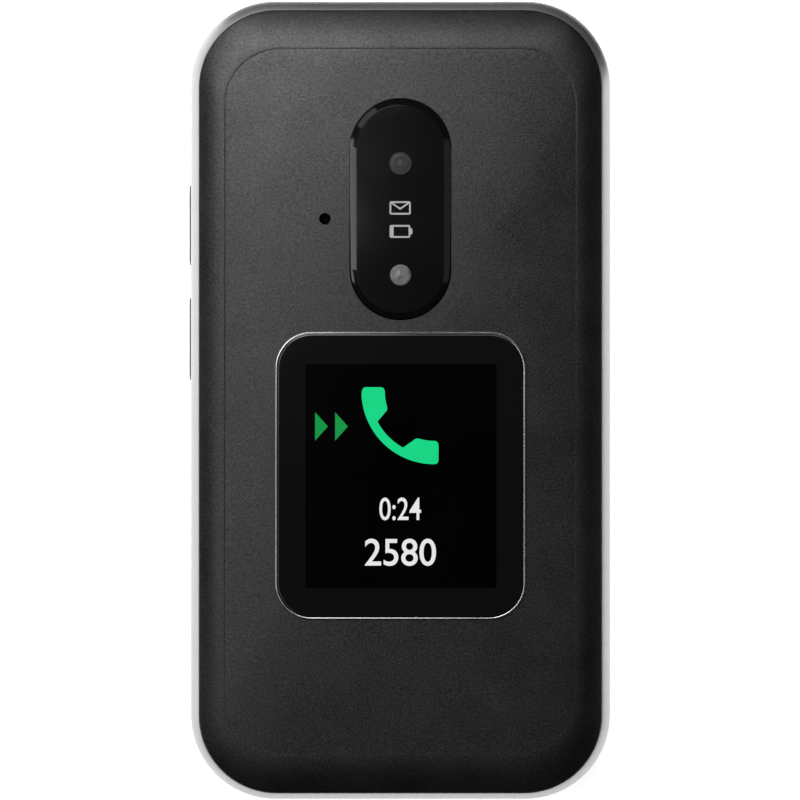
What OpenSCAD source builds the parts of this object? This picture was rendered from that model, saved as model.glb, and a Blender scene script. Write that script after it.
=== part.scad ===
// Folding phone: a lid with an outer display and a camera window, hinged to a
// base with a keypad. Millimetres. The closed phone lies on its back, with X
// across its width, Y along its length (the hinge is at +Y) and Z up through it.

/* [Overall] */
// Width of the closed phone
phone_w = 55.4; // [55:0.1:56]
// Length of the closed phone
phone_l = 105.4; // [105:0.1:106]
// Corner radius of the outline, seen from the front
corner_r = 11.15; // [10.8:0.05:11.4]

/* [Layers, as heights above the table] */
// Height of the battery cover's upper edge
back_h = 4.9; // [4.8:0.1:4.9]
// Height of the base frame's rim around the keypad
rim_z = 10.65; // [10.5:0.05:10.7]
// Height of the keypad panel's face
panel_z = 10.0; // [9.9:0.05:10.05]
// Height of the closed lid's inner face
lid_z = 10.95; // [10.95:0.05:11]
// Height of the lid cover's top
cover_z = 18.5; // [18.4:0.05:18.6]

/* [Hinge] */
// Distance of the hinge axis from the middle of the phone
hinge_y = 45.35; // [45.3:0.05:45.4]
// Height of the hinge axis
hinge_z = 10.8; // [10.75:0.05:10.85]
// Radius of the base's middle barrel
barrel_r = 6.4; // [6.3:0.05:6.4]
// Half of the middle barrel's length
barrel_half = 12.3; // [12:0.1:12.3]
// Radius of the two knuckles under the lid's end
knuckle_r = 7.3; // [7.2:0.05:7.3]
// Radius of the hollow in the base that the lid's end turns through
sweep_r = 8.2; // [8.2:0.05:8.25]
// Radius of the hinge shaft
shaft_r = 1.95; // [1.9:0.05:1.95]

/* [Lid cover] */
// Width of the black lid cover
cover_w = 53.1; // [53:0.1:53.2]
// Length of the black lid cover
cover_l = 103.3; // [103.2:0.1:103.4]
// Shift of the lid cover away from the hinge end
cover_dy = -0.2; // [-0.25:0.05:-0.15]
// Corner radius of the lid cover
cover_r = 10.25; // [10.1:0.05:10.3]
// Thickness of the covers' side walls
wall = 1.2; // [1.1:0.1:1.3]

/* [Camera window and outer display] */
// Width of the camera window
cam_w = 13.4; // [13:0.1:13.6]
// Length of the camera window
cam_l = 29.3; // [29:0.1:29.6]
// Place of the camera window along the phone
cam_y = 25.17; // [25:0.05:25.3]
// Width of the outer display's rim
disp_w = 33.0; // [32.8:0.1:33.2]
// Length of the outer display's rim
disp_l = 37.9; // [37.7:0.1:38.1]
// Place of the outer display along the phone
disp_y = -9.98; // [-10.1:0.02:-9.9]
// Corner radius of the outer display's rim
disp_r = 4.8; // [4.6:0.1:5]
// Width of the metal line around the outer display
disp_line = 0.28; // [0.25:0.01:0.3]

/* [Keypad] */
// Distance between the digit keys' columns
key_dx = 16; // [15.8:0.1:16]
// Distance between the digit keys' rows
key_dy = 12.2; // [12.1:0.1:12.2]
// Place of the first row of digit keys along the phone
key_y0 = 3.0; // [2.9:0.1:3]
// Width of a digit key
key_w = 14; // [13.6:0.1:14]
// Length of a digit key
key_l = 10.2; // [10:0.1:10.2]
// Travel of every key
key_travel = 0.3; // [0.2:0.05:0.3]
// Radius of the navigation ring
ring_r = 10.2; // [10:0.1:10.2]
// Place of the navigation ring along the phone
ring_y = 22; // [21.8:0.1:22]
// Distance of the function keys from the middle line
fn_x = 17.8; // [17.7:0.1:17.8]

/* [Audio jack] */
// Radius of the audio jack's bore
jack_r = 1.8; // [1.78:0.01:1.82]
// Depth of the audio jack's bore
jack_depth = 12; // [11.5:0.1:12]

/* [Hidden] */
$fn = 64;
far = 40;
lid_clear = barrel_r + 0.3;       // the lid's inside radius over the barrel
knuckle_x = barrel_half + 0.2;    // where each knuckle begins
core_r = 6.2;                     // radius of the knuckles inside the lid
neck_end = 217;                   // angle at which the barrel's neck stops
tail_z = 13.4;                    // height of the lid frame's edge over the barrel
port_z = 7.15;                    // height of the charging socket at the bottom end
jack_z = 7.2;                     // height of the audio jack beside it
panel_t = 0.7;
panel_end = 37.65;                // where the keypad panel stops at the knuckles
flange_z = 8.95;                  // underside of the keys
side_key_z = 7.6;
help_y = 32.5;                    // place of the button on the back
mic = [-9.96, 23.9];              // lid microphone hole
lens_y = 31.2;
flash_y = 16.5;
main_disp_y = -7;
batt = [38, 52, 5];
batt_y = -7;
door_y = 20;                      // where the battery cover meets the rear chassis
jack_x = -11;
contacts_x = [10.5, 14];
// column and row of each digit key, 0 to 9 and then the star and hash keys
digit_place = [[0, 3], [-1, 0], [0, 0], [1, 0], [-1, 1], [0, 1], [1, 1],
               [-1, 2], [0, 2], [1, 2], [-1, 3], [1, 3]];
// x, y, width, length and corner radius of the function keys
fn_keys = [
    [-fn_x, ring_y + 9, 12, 7, 2.4], [fn_x, ring_y + 9, 12, 7, 2.4],
    [-fn_x, ring_y, 12, 7.4, 2.4], [fn_x, ring_y, 12, 7.4, 2.4],
    [-fn_x, ring_y - 9, 12, 7, 2.4], [fn_x, ring_y - 9, 12, 7, 2.4]
];
key_top = panel_z + 0.4;
core_end = 18.5;                  // how far out the knuckles' full cores reach
band_profile = [[0, lid_z], [0, 13.1], [0.08, 13.75], [0.25, 14.25], [0.5, 14.6],
                [0.8, 14.8], [1.3, 14.9]];
cover_profile = [[0, 13.65], [0, 15.95], [0.15, 16.2], [0.6, 16.65], [1.4, 17.15],
                 [2.4, 17.55], [3.6, 17.9], [5.6, 18.25], [8, cover_z]];
base_profile = [[0.35, 5], [0.08, 5.8], [0, 6.8], [0, 9.9], [0.12, 10.4], [0.35, rim_z]];
back_profile = [[3.6, 0], [2.4, 0.35], [1.3, 1.1], [0.5, 2.3], [0.12, 3.6], [0.05, back_h]];
back_hollow = [[4.2, wall], [2.9, 1.65], [1.95, 2.6], [1.45, 3.7], [1.35, 5.2]];

// A flat rounded rectangle
module rrect(w, l, r) {
    square([w - 2*r, l], center = true);
    square([w, l - 2*r], center = true);
    for (x = [-1, 1], y = [-1, 1])
        translate([x*(w/2 - r), y*(l/2 - r)]) circle(r);
}

// A plate of the phone's outline, moved in by an inset
module plate(inset, z0, z1)
    translate([0, 0, z0]) linear_extrude(z1 - z0)
        rrect(phone_w - 2*inset, phone_l - 2*inset, corner_r - inset);

// A block with a rounded outline whose wall follows a profile of [inset, height]
module rolled(p, w, l, r) {
    n = len(p) - 1;
    pts = concat([[0, p[0][1]]], [for (q = p) [r - q[0], q[1]]], [[0, p[n][1]]]);
    for (s = [[1, 1, 0], [-1, 1, 90], [-1, -1, 180], [1, -1, 270]])
        translate([s[0]*(w/2 - r), s[1]*(l/2 - r), 0]) rotate([0, 0, s[2]])
            rotate_extrude(angle = 90) polygon(pts);
    if (l > 2*r) for (a = [0, 180]) rotate([0, 0, a])
        translate([w/2 - r, l/2 - r, 0]) rotate([90, 0, 0])
            linear_extrude(l - 2*r) polygon(pts);
    if (w > 2*r) for (a = [90, 270]) rotate([0, 0, a])
        translate([l/2 - r, w/2 - r, 0]) rotate([90, 0, 0])
            linear_extrude(w - 2*r) polygon(pts);
    if (w > 2*r && l > 2*r)
        translate([r - w/2, r - l/2, p[0][1]])
            cube([w - 2*r, l - 2*r, p[n][1] - p[0][1]]);
}

// A cylinder along the hinge axis
module on_axis(r, x0, x1)
    translate([x0, hinge_y, hinge_z]) rotate([0, 90, 0]) cylinder(r = r, h = x1 - x0);

// Part of a tube around the hinge axis. Angle 0 points to +Y and 90 points up.
module sector(r0, r1, a0, a1, x0, x1)
    translate([0, hinge_y, hinge_z]) rotate(a = 120, v = [1, 1, 1])
        rotate([0, 0, a0]) rotate_extrude(angle = a1 - a0)
            translate([r0, x0]) square([r1 - r0, x1 - x0]);

// A box given by its two corners
module box(a, b) translate(a) cube([b[0] - a[0], b[1] - a[1], b[2] - a[2]]);

// What the lid's pieces leave free around the barrel and the knuckles' cores
module hinge_room() {
    on_axis(core_r + 0.05, -far, far);
    on_axis(lid_clear, -knuckle_x + 0.02, knuckle_x - 0.02);
}

// A block along the hinge axis whose section is drawn around that axis
module on_hinge(x0, x1)
    translate([x0, hinge_y, hinge_z]) rotate(a = 120, v = [1, 1, 1])
        linear_extrude(x1 - x0) children();

// ---- lid ----

module lid_outer_cover() color([0.11, 0.11, 0.11]) difference() {
    translate([0, cover_dy, 0]) rolled(cover_profile, cover_w, cover_l, cover_r);
    translate([0, cover_dy, 0])
        rolled([[wall, 13], [wall, 15], [1.6, 15.7], [2.4, 16.5], [3.6, 17], [5.2, 17.2]],
               cover_w, cover_l, cover_r);
    translate([0, cam_y, 14]) linear_extrude(8) rrect(cam_w + 0.1, cam_l + 0.1, cam_w/2 + 0.04);
    translate([0, disp_y, 14]) linear_extrude(8) rrect(disp_w + 0.04, disp_l + 0.04, disp_r + 0.02);
    translate([mic[0], mic[1], 14]) cylinder(r = 0.66, h = 8);
    on_axis(core_r + 0.05, -core_end - 0.1, core_end + 0.1);
    on_axis(lid_clear, -knuckle_x + 0.02, knuckle_x - 0.02);
}

module lid_frame() color([0.86, 0.86, 0.86]) difference() {
    union() {
        difference() {
            rolled(band_profile, phone_w, phone_l, corner_r);
            plate(1.55, lid_z - 1, 13.6);
            translate([0, cover_dy, 13.55]) linear_extrude(4)
                rrect(cover_w + 0.2, cover_l + 0.2, cover_r + 0.1);
        }
        for (s = [-1, 1]) intersection() {
            on_hinge(s > 0 ? knuckle_x : -far, s > 0 ? far : -knuckle_x) {
                circle(core_r);
                intersection() {
                    circle(knuckle_r);
                    translate([-10, lid_z - 0.01 - hinge_z - 10]) square([20, 10]);
                }
            }
            plate(0.05, 0, 17);
            // beyond core_end the core keeps inside the cover's shell
            union() {
                box([-far, 30, -1], [far, 60, 13.3]);
                box([-core_end, 30, 13], [core_end, 60, 17.5]);
                translate([0, cover_dy, 0])
                    rolled([[1.3, 13], [1.3, 15], [1.7, 15.7], [2.5, 16.5], [3.7, 17], [5.2, 17.1]],
                           cover_w, cover_l, cover_r);
            }
        }
    }
    on_axis(lid_clear, -knuckle_x, knuckle_x);
    box([-knuckle_x, hinge_y, lid_z - 1], [knuckle_x, hinge_y + 20, tail_z]);
    on_axis(shaft_r, -22, -10);
    on_axis(3, 10, 18.5);
    on_axis(2.2, 18, 22);
    box([18.8, hinge_y - 0.6, hinge_z], [22, hinge_y + 0.6, 14.95]);
    box([18.8, 30, 14.3], [22, hinge_y + 0.6, 14.95]);
}

module lid_inner_cover() color([0.09, 0.09, 0.1]) {
    difference() {
        plate(1.65, lid_z, 12.2);
        hinge_room();
        translate([0, main_disp_y, lid_z - 1]) linear_extrude(1.9) rrect(48.1, 64.1, 2.5);
        translate([0, main_disp_y, lid_z - 1]) linear_extrude(4) rrect(45, 60, 1.5);
        translate([0, -45.5, lid_z - 1]) linear_extrude(4) rrect(10.1, 1.9, 0.94);
        for (x = [-20, 20]) translate([x, -48, lid_z - 1]) cylinder(r = 1.52, h = 1.6);
        for (x = [-21.8, 21.8], y = [-43.5, 32.5]) translate([x, y, lid_z - 1]) {
            cylinder(r = 1.8, h = 1.75);
            cylinder(r = 1, h = 4);
        }
    }
    intersection() {
        sector(lid_clear, lid_clear + 0.7, 90, 179, -knuckle_x + 0.05, knuckle_x - 0.05);
        box([-far, 30, lid_z + 0.1], [far, hinge_y, 17.1]);
    }
}

module camera_window() color([0.03, 0.03, 0.03]) translate([0, cam_y, 0]) difference() {
    rolled([[0, 17.3], [0, 18.55], [0.92, 19.3]], cam_w, cam_l, cam_w/2);
    translate([0, lens_y - cam_y, 17]) cylinder(r = 1.55, h = 4);
    translate([0, flash_y - cam_y, 17]) cylinder(r = 1.45, h = 4);
}

module camera_lens() color([0.2, 0.2, 0.22])
    translate([0, lens_y, 16.95]) cylinder(r = 1.5, h = 2.25);

module camera_module() color([0.16, 0.16, 0.17]) {
    box([-4.2, lens_y - 4.2, 15.3], [4.2, lens_y + 3.6, 16.2]);
    translate([0, lens_y, 16.2]) cylinder(r = 3.2, h = 0.75);
}

module flash_lens() color([0.7, 0.7, 0.68]) translate([0, flash_y, 0]) {
    translate([0, 0, 17]) cylinder(r = 1.4, h = 2.2);
    box([-2, -2, 15.3], [2, 2, 17]);
}

module outer_display_rim() color([0.75, 0.75, 0.76])
    translate([0, disp_y, 17.25]) linear_extrude(1.6) difference() {
        rrect(disp_w, disp_l, disp_r);
        rrect(disp_w - 2*disp_line, disp_l - 2*disp_line, disp_r - disp_line);
    }

module outer_display_window() color([0.04, 0.04, 0.04])
    translate([0, disp_y, 17.4]) linear_extrude(1.4)
        rrect(disp_w - 2*disp_line - 0.04, disp_l - 2*disp_line - 0.04, disp_r - disp_line - 0.02);

module outer_display_module() color([0.02, 0.02, 0.02])
    box([-14.5, disp_y - 17, 15.3], [14.5, disp_y + 17, 17.2]);

module lid_pcb() color([0.1, 0.32, 0.18]) {
    difference() {
        translate([0, -6, 14.4]) linear_extrude(0.8) rrect(47, 84, 6);
        for (x = [-21.8, 21.8], y = [-43.5, 32.5]) translate([x, y, 14]) cylinder(r = 1.6, h = 2);
    }
}

// The lid's half of the flexible circuit, rolled up inside the bush
module lid_flex() color([0.8, 0.55, 0.2]) {
    on_axis(1.6, 12.7, 21.6);
    box([19.2, hinge_y - 0.1, 12], [21.4, hinge_y + 0.1, 14.7]);
    box([19.2, 36.1, 14.5], [21.4, hinge_y + 0.1, 14.7]);
    box([19.2, 36.1, 14.5], [21.4, 36.3, 15.4]);
    box([19.2, 33, 15.2], [21.4, 36.3, 15.4]);
}

module main_display_window() color([0.05, 0.05, 0.06])
    translate([0, main_disp_y, lid_z]) linear_extrude(0.85) rrect(48, 64, 2.45);

module main_display_module() color([0.08, 0.09, 0.12])
    translate([0, main_disp_y, 12.25]) linear_extrude(1.95) rrect(46.6, 62, 1.5);

module earpiece_speaker() color([0.3, 0.3, 0.3])
    translate([0, -45.4, 12.25]) linear_extrude(2) rrect(12.4, 6.4, 1.5);

module earpiece_grille() color([0.35, 0.35, 0.36]) difference() {
    translate([0, -45.5, lid_z]) linear_extrude(1.2) rrect(10, 1.8, 0.89);
    for (i = [-5:5]) box([i*0.8 - 0.2, -46, lid_z - 1], [i*0.8 + 0.2, -45, 14]);
}

module lid_magnet() color([0.6, 0.6, 0.62])
    box([14, -48.2, 12.25], [20, -45.2, 13.8]);

module lid_bumpers() color([0.12, 0.12, 0.12])
    for (x = [-20, 20]) translate([x, -48, 10.5]) cylinder(r = 1.5, h = 1);

module lid_screws() color([0.4, 0.4, 0.42]) {
    for (x = [-21.8, 21.8], y = [-43.5, 32.5]) translate([x, y, 11.15]) {
        difference() {
            cylinder(r = 1.7, h = 0.5);
            translate([0, 0, -0.1]) cylinder(r = 0.7, h = 0.4, $fn = 6);
        }
        cylinder(r = 0.95, h = 3.2);
    }
}

// Sprung cam unit that holds the lid closed and open; it sits in the barrel
module hinge_cartridge() color([0.62, 0.62, 0.64]) difference() {
    on_axis(3.38, -11.9, -2.1);
    on_axis(shaft_r + 0.06, -far, -4.2);
}

// ---- base ----

module base_frame() color([0.86, 0.86, 0.86]) difference() {
    union() {
        difference() {
            union() {
                difference() {
                    rolled(base_profile, phone_w, phone_l, corner_r);
                    plate(1.7, 4, panel_z - panel_t - 0.02);
                    plate(1.3, panel_z - panel_t - 0.05, 12);
                }
                intersection() {
                    on_axis(sweep_r + 1, -26.5, 26.5);
                    box([-far, 30, 5.2], [far, hinge_y - 5, panel_z - panel_t - 0.1]);
                }
            }
            on_axis(sweep_r, -far, far);
            box([-far, hinge_y - 3, 0], [far, 60, 20]);
        }
        // the middle barrel, and the neck that carries it
        on_hinge(-barrel_half, barrel_half) {
            circle(barrel_r);
            intersection() {
                circle(sweep_r + 0.6);
                polygon([[-2, rim_z - 0.05 - hinge_z], [-8.4, rim_z - 0.05 - hinge_z], [-8.4, -1.65],
                         [-12, -1.65], [-12, -12*tan(neck_end - 180)], [-2, -2*tan(neck_end - 180)]]);
            }
        }
    }
    on_axis(3.4, -far, -2);
    on_axis(3.06, 6, far);
    on_axis(2.6, 1.6, 6.5);
    box([2.2, 30, 8.3], [5.8, hinge_y + 0.6, 8.75]);
    box([2.2, hinge_y - 0.6, 8.3], [5.8, hinge_y + 0.6, hinge_z]);
    // side key openings
    for (k = [[23.15, 10.7], [8.1, 11]])
        box([-30, k[0] - k[1]/2 - 0.15, side_key_z - 1.55], [-20, k[0] + k[1]/2 + 0.15, side_key_z + 1.55]);
    // openings at the bottom end
    translate([0, -60, port_z]) rotate([-90, 0, 0]) linear_extrude(20) rrect(9.2, 3.5, 1.7);
    translate([jack_x, -60, jack_z]) rotate([-90, 0, 0]) cylinder(r = 2.08, h = 20);
    for (x = contacts_x) translate([x, -60, port_z]) rotate([-90, 0, 0]) cylinder(r = 1.05, h = 20);
}

module keypad_panel() color([0.07, 0.07, 0.08]) difference() {
    plate(1.35, panel_z - panel_t, panel_z);
    box([-far, panel_end, 0], [far, 60, 20]);
    box([-knuckle_x, 36.85, 0], [knuckle_x, 60, 20]);
    for (p = digit_place) translate([p[0]*key_dx, key_y0 - p[1]*key_dy, 8])
        linear_extrude(4) rrect(key_w + 0.5, key_l + 0.5, 2.65);
    for (k = fn_keys) translate([k[0], k[1], 8])
        linear_extrude(4) rrect(k[2] + 0.5, k[3] + 0.5, k[4] + 0.25);
    translate([0, ring_y, 8]) cylinder(r = ring_r + 0.25, h = 4);
    translate([0, -46.5, 8]) cylinder(r = 0.6, h = 4);
}

module dome_sheet() color([0.75, 0.75, 0.72]) {
    difference() {
        box([-24, -39.4, 8.3], [24, 35, 8.45]);
        box([2.3, 32.7, 8], [5.7, 36, 9]);
    }
    for (p = digit_place) translate([p[0]*key_dx, key_y0 - p[1]*key_dy, 8.4]) cylinder(r = 2.2, h = 0.2);
    for (k = fn_keys) translate([k[0], k[1], 8.4]) cylinder(r = 2.2, h = 0.2);
    translate([0, ring_y, 8.4]) cylinder(r = 2.2, h = 0.2);
    for (a = [0:90:270]) translate([7.6*cos(a), ring_y + 7.6*sin(a), 8.4]) cylinder(r = 1.8, h = 0.2);
}

module main_pcb() color([0.1, 0.35, 0.2]) difference() {
    translate([0, -7.5, 7.5]) linear_extrude(0.8) rrect(49, 85, 7);
    box([-14.2, -60, 7], [5.4, -39.7, 9]);
    for (x = [-22.3, 22.3]) translate([x, 17.5, 7]) cylinder(r = 1.2, h = 3);
    for (x = [-20, 20]) translate([x, -45, 7]) cylinder(r = 1.2, h = 3);
}

module rear_chassis() color([0.12, 0.12, 0.12]) difference() {
    union() {
        // hinge end of the back, with the lip under the barrel
        difference() {
            intersection() {
                rolled(back_profile, phone_w, phone_l, corner_r);
                box([-far, door_y + 0.3, -1], [far, 49.8, 6]);
            }
            intersection() {
                rolled(back_hollow, phone_w, phone_l, corner_r);
                box([-far, door_y + 1.5, -1], [far, 39.2, 6]);
            }
        }
        // middle plate and the battery bay under it
        translate([0, -7.5, 6.8]) linear_extrude(0.6) rrect(49, 85, 7);
        difference() {
            box([-batt[0]/2 - 1.2, batt_y - batt[1]/2 - 1.2, 1.6],
                [batt[0]/2 + 1.2, door_y + 1, 6.85]);
            box([-batt[0]/2 - 0.2, batt_y - batt[1]/2 - 0.2, 1],
                [batt[0]/2 + 0.2, batt_y + batt[1]/2 + 0.2, 6.8]);
        }
        for (x = [-22.3, 22.3]) translate([x, 17.5, 3.2]) cylinder(r = 2, h = 3.7);
        for (x = [-20, 20]) translate([x, -45, 3.2]) cylinder(r = 2, h = 3.7);
    }
    on_axis(sweep_r, -far, far);
    for (x = [-22.3, 22.3]) translate([x, 17.5, 3]) cylinder(r = 0.9, h = 6);
    for (x = [-20, 20]) translate([x, -45, 3]) cylinder(r = 0.9, h = 6);
    box([-14.2, -60, 6], [5.4, -39.7, 9]);
    translate([0, help_y, -1]) cylinder(r = 5.2, h = 3);
    for (y = [28.6, 31, 33.4]) box([-19, y, -1], [-10, y + 0.9, 2]);
}

module battery() color([0.25, 0.27, 0.3])
    box([-batt[0]/2, batt_y - batt[1]/2, 1.65], [batt[0]/2, batt_y + batt[1]/2, 1.65 + batt[2]]);

module battery_cover() color([0.11, 0.11, 0.11]) intersection() {
    difference() {
        rolled(back_profile, phone_w, phone_l, corner_r);
        rolled(back_hollow, phone_w, phone_l, corner_r);
    }
    box([-far, -60, -1], [far, door_y, 6]);
}

module loudspeaker() color([0.3, 0.3, 0.3]) box([-20, 25.5, 1.3], [-9, 36.5, 4.6]);

module vibration_motor() color([0.6, 0.6, 0.6])
    translate([13.2, -39.9, 3.4]) cylinder(r = 3.8, h = 3);

module usb_port() color([0.6, 0.6, 0.62]) difference() {
    translate([0, -52.55, port_z]) rotate([-90, 0, 0]) linear_extrude(7.6) rrect(8.94, 3.2, 1.55);
    translate([0, -53, port_z]) rotate([-90, 0, 0]) linear_extrude(7.2) difference() {
        rrect(8.34, 2.6, 1.25);
        translate([-3.1, -0.35]) square([6.2, 0.7]);
    }
}

module audio_jack() color([0.1, 0.1, 0.1]) difference() {
    union() {
        translate([jack_x, -52.6, jack_z]) rotate([-90, 0, 0]) cylinder(r = 2.05, h = 4);
        box([jack_x - 2.6, -50.6, 5.15], [jack_x + 2.6, -39.9, 9.25]);
    }
    translate([jack_x, -53, jack_z]) rotate([-90, 0, 0]) cylinder(r = jack_r, h = jack_depth + 0.4);
}

module charging_contacts() color([0.85, 0.7, 0.4])
    for (x = contacts_x) translate([x, -52.6, port_z]) rotate([-90, 0, 0]) {
        cylinder(r = 1, h = 2.2);
        translate([0, 0, 1.8]) cylinder(r = 1.4, h = 0.6);
    }

module sim_holder() color([0.7, 0.7, 0.7]) box([5, 23.5, 5], [21, 34.5, 6.75]);

module base_screws() color([0.4, 0.4, 0.42])
    for (p = [[-22.3, 17.5], [22.3, 17.5], [-20, -45], [20, -45]]) translate([p[0], p[1], 2.2]) {
        difference() {
            cylinder(r = 1.7, h = 0.95);
            translate([0, 0, -0.1]) cylinder(r = 0.7, h = 0.5, $fn = 6);
        }
        cylinder(r = 0.85, h = 5.6);
    }

module hinge_shaft() color([0.7, 0.7, 0.72]) on_axis(shaft_r, -22, -4.5);

module hinge_bush() color([0.7, 0.7, 0.72]) difference() {
    on_axis(3, 6.7, 18.4);
    on_axis(2.2, 0, far);
}

// The base's half of the flexible circuit, with its tail down to the main board
module hinge_flex() color([0.8, 0.55, 0.2]) {
    on_axis(1.6, 2.2, 12.3);
    box([2.6, hinge_y - 0.1, 8.45], [5.4, hinge_y + 0.1, 9.6]);
    box([2.6, 34, 8.45], [5.4, hinge_y + 0.1, 8.6]);
    box([2.6, 33, 8.3], [5.4, 35.2, 8.6]);
}

// ---- keys ----

// A key cap with the flange that holds it under the keypad panel
module key_cap(x, y, w, l, r) color([0.2, 0.2, 0.21]) translate([x, y, 0]) {
    translate([0, 0, flange_z]) linear_extrude(0.27) rrect(w + 1, l + 1, r + 0.5);
    translate([0, 0, flange_z + 0.2]) linear_extrude(key_top - flange_z - 0.4) rrect(w, l, r);
    translate([0, 0, key_top - 0.25]) linear_extrude(0.25) rrect(w - 0.6, l - 0.6, r - 0.3);
}

module digit(i)
    key_cap(digit_place[i][0]*key_dx, key_y0 - digit_place[i][1]*key_dy, key_w, key_l, 2.4);

module function_key(i)
    key_cap(fn_keys[i][0], fn_keys[i][1], fn_keys[i][2], fn_keys[i][3], fn_keys[i][4]);

module dpad_ring() color([0.3, 0.3, 0.31]) translate([0, ring_y, 0]) difference() {
    union() {
        translate([0, 0, flange_z]) cylinder(r = ring_r + 0.45, h = 0.27);
        translate([0, 0, flange_z + 0.2]) cylinder(r = ring_r, h = key_top - flange_z - 0.4);
        translate([0, 0, key_top - 0.25]) cylinder(r = ring_r - 0.3, h = 0.25);
    }
    translate([0, 0, 8]) cylinder(r = 4.95, h = 4);
    translate([0, 0, 8]) cylinder(r = 6.1, h = 1.65);
}

module ok_key() color([0.2, 0.2, 0.21]) translate([0, ring_y, 0]) {
    translate([0, 0, flange_z]) cylinder(r = 5.7, h = 0.25);
    translate([0, 0, flange_z + 0.2]) cylinder(r = 4.7, h = key_top - flange_z - 0.2);
}

// A key in the left side wall, pressed inwards
module side_key(y, l) color([0.16, 0.16, 0.16]) translate([0, y, side_key_z]) {
    translate([-27.94, 0, 0]) rotate([0, 90, 0]) linear_extrude(2.2) rrect(2.8, l, 1.3);
    translate([-25.93, 0, 0]) rotate([0, 90, 0]) linear_extrude(0.45) rrect(3.3, l + 1, 1.3);
}

module assistance_button() color([0.16, 0.16, 0.16]) translate([0, help_y, 0]) {
    translate([0, 0, 0.35]) cylinder(r = 5, h = 1.2);
    translate([0, 0, 1.25]) cylinder(r = 6, h = 0.5);
}

module key_0() digit(0);
module key_1() digit(1);
module key_2() digit(2);
module key_3() digit(3);
module key_4() digit(4);
module key_5() digit(5);
module key_6() digit(6);
module key_7() digit(7);
module key_8() digit(8);
module key_9() digit(9);
module key_star() digit(10);
module key_hash() digit(11);
module softkey_left() function_key(0);
module softkey_right() function_key(1);
module call_key() function_key(2);
module end_key() function_key(3);
module message_key() function_key(4);
module camera_key() function_key(5);
module volume_up() side_key(23.15, 10.7);
module volume_down() side_key(8.1, 11);

lid_outer_cover();
lid_frame();
lid_inner_cover();
lid_flex();
camera_window();
camera_lens();
camera_module();
flash_lens();
outer_display_rim();
outer_display_window();
outer_display_module();
lid_pcb();
main_display_window();
main_display_module();
earpiece_speaker();
earpiece_grille();
lid_magnet();
lid_bumpers();
lid_screws();
hinge_cartridge();
base_frame();
keypad_panel();
dome_sheet();
main_pcb();
rear_chassis();
battery();
battery_cover();
loudspeaker();
vibration_motor();
usb_port();
audio_jack();
charging_contacts();
sim_holder();
base_screws();
hinge_shaft();
hinge_bush();
hinge_flex();
key_0();
key_1();
key_2();
key_3();
key_4();
key_5();
key_6();
key_7();
key_8();
key_9();
key_star();
key_hash();
dpad_ring();
ok_key();
softkey_left();
softkey_right();
call_key();
end_key();
message_key();
camera_key();
volume_up();
volume_down();
assistance_button();
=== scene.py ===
import bpy
import bmesh
import math
import numpy as np
from mathutils import Matrix, Vector


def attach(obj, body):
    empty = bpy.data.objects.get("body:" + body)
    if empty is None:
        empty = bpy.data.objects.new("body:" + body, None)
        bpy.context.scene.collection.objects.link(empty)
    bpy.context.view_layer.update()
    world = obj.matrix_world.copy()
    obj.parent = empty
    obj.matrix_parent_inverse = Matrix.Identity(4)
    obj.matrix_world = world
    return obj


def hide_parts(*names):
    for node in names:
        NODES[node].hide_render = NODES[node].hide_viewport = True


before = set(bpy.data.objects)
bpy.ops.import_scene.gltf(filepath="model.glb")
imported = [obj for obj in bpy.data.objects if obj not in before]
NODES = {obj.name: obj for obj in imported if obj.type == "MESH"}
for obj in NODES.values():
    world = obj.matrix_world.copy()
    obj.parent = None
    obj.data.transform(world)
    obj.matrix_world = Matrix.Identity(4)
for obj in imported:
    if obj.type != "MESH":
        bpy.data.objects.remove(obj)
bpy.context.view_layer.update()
SCENE = bpy.context.scene
COLLECTION = SCENE.collection
MM = 0.001

# ---- the phone's main sizes, in millimetres, as in the CAD frame ----
PHONE_W, PHONE_L, CORNER_R = 55.4, 105.4, 11.15
HINGE_Y, HINGE_Z = 45.35, 10.8
COVER_W, COVER_L, COVER_DY, COVER_R = 53.1, 103.3, -0.2, 10.25
CAM_W, CAM_L, CAM_Y = 13.4, 29.3, 25.17
LENS_Y, FLASH_Y = 31.2, 16.5
DISP_W, DISP_L, DISP_Y, DISP_R, DISP_LINE = 33.0, 37.9, -9.98, 4.8, 0.28
MIC = (-9.96, 23.9)
KEY_DX, KEY_DY, KEY_Y0, KEY_W, KEY_L = 16.0, 12.2, 3.0, 14.0, 10.2
RING_R, RING_Y, FN_X = 10.2, 22.0, 17.8
LID_Z, RIM_Z, PANEL_Z, KEY_TOP = 10.95, 10.65, 10.0, 10.4
PORT_Z, JACK_X, JACK_Z = 7.15, -11.0, 7.2
HELP_Y = 32.5
SIDE_KEY_Z = 7.6

# ------------------------------------------------------------------
# mesh helpers, all in millimetres until finish_piece()
# ------------------------------------------------------------------


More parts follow.
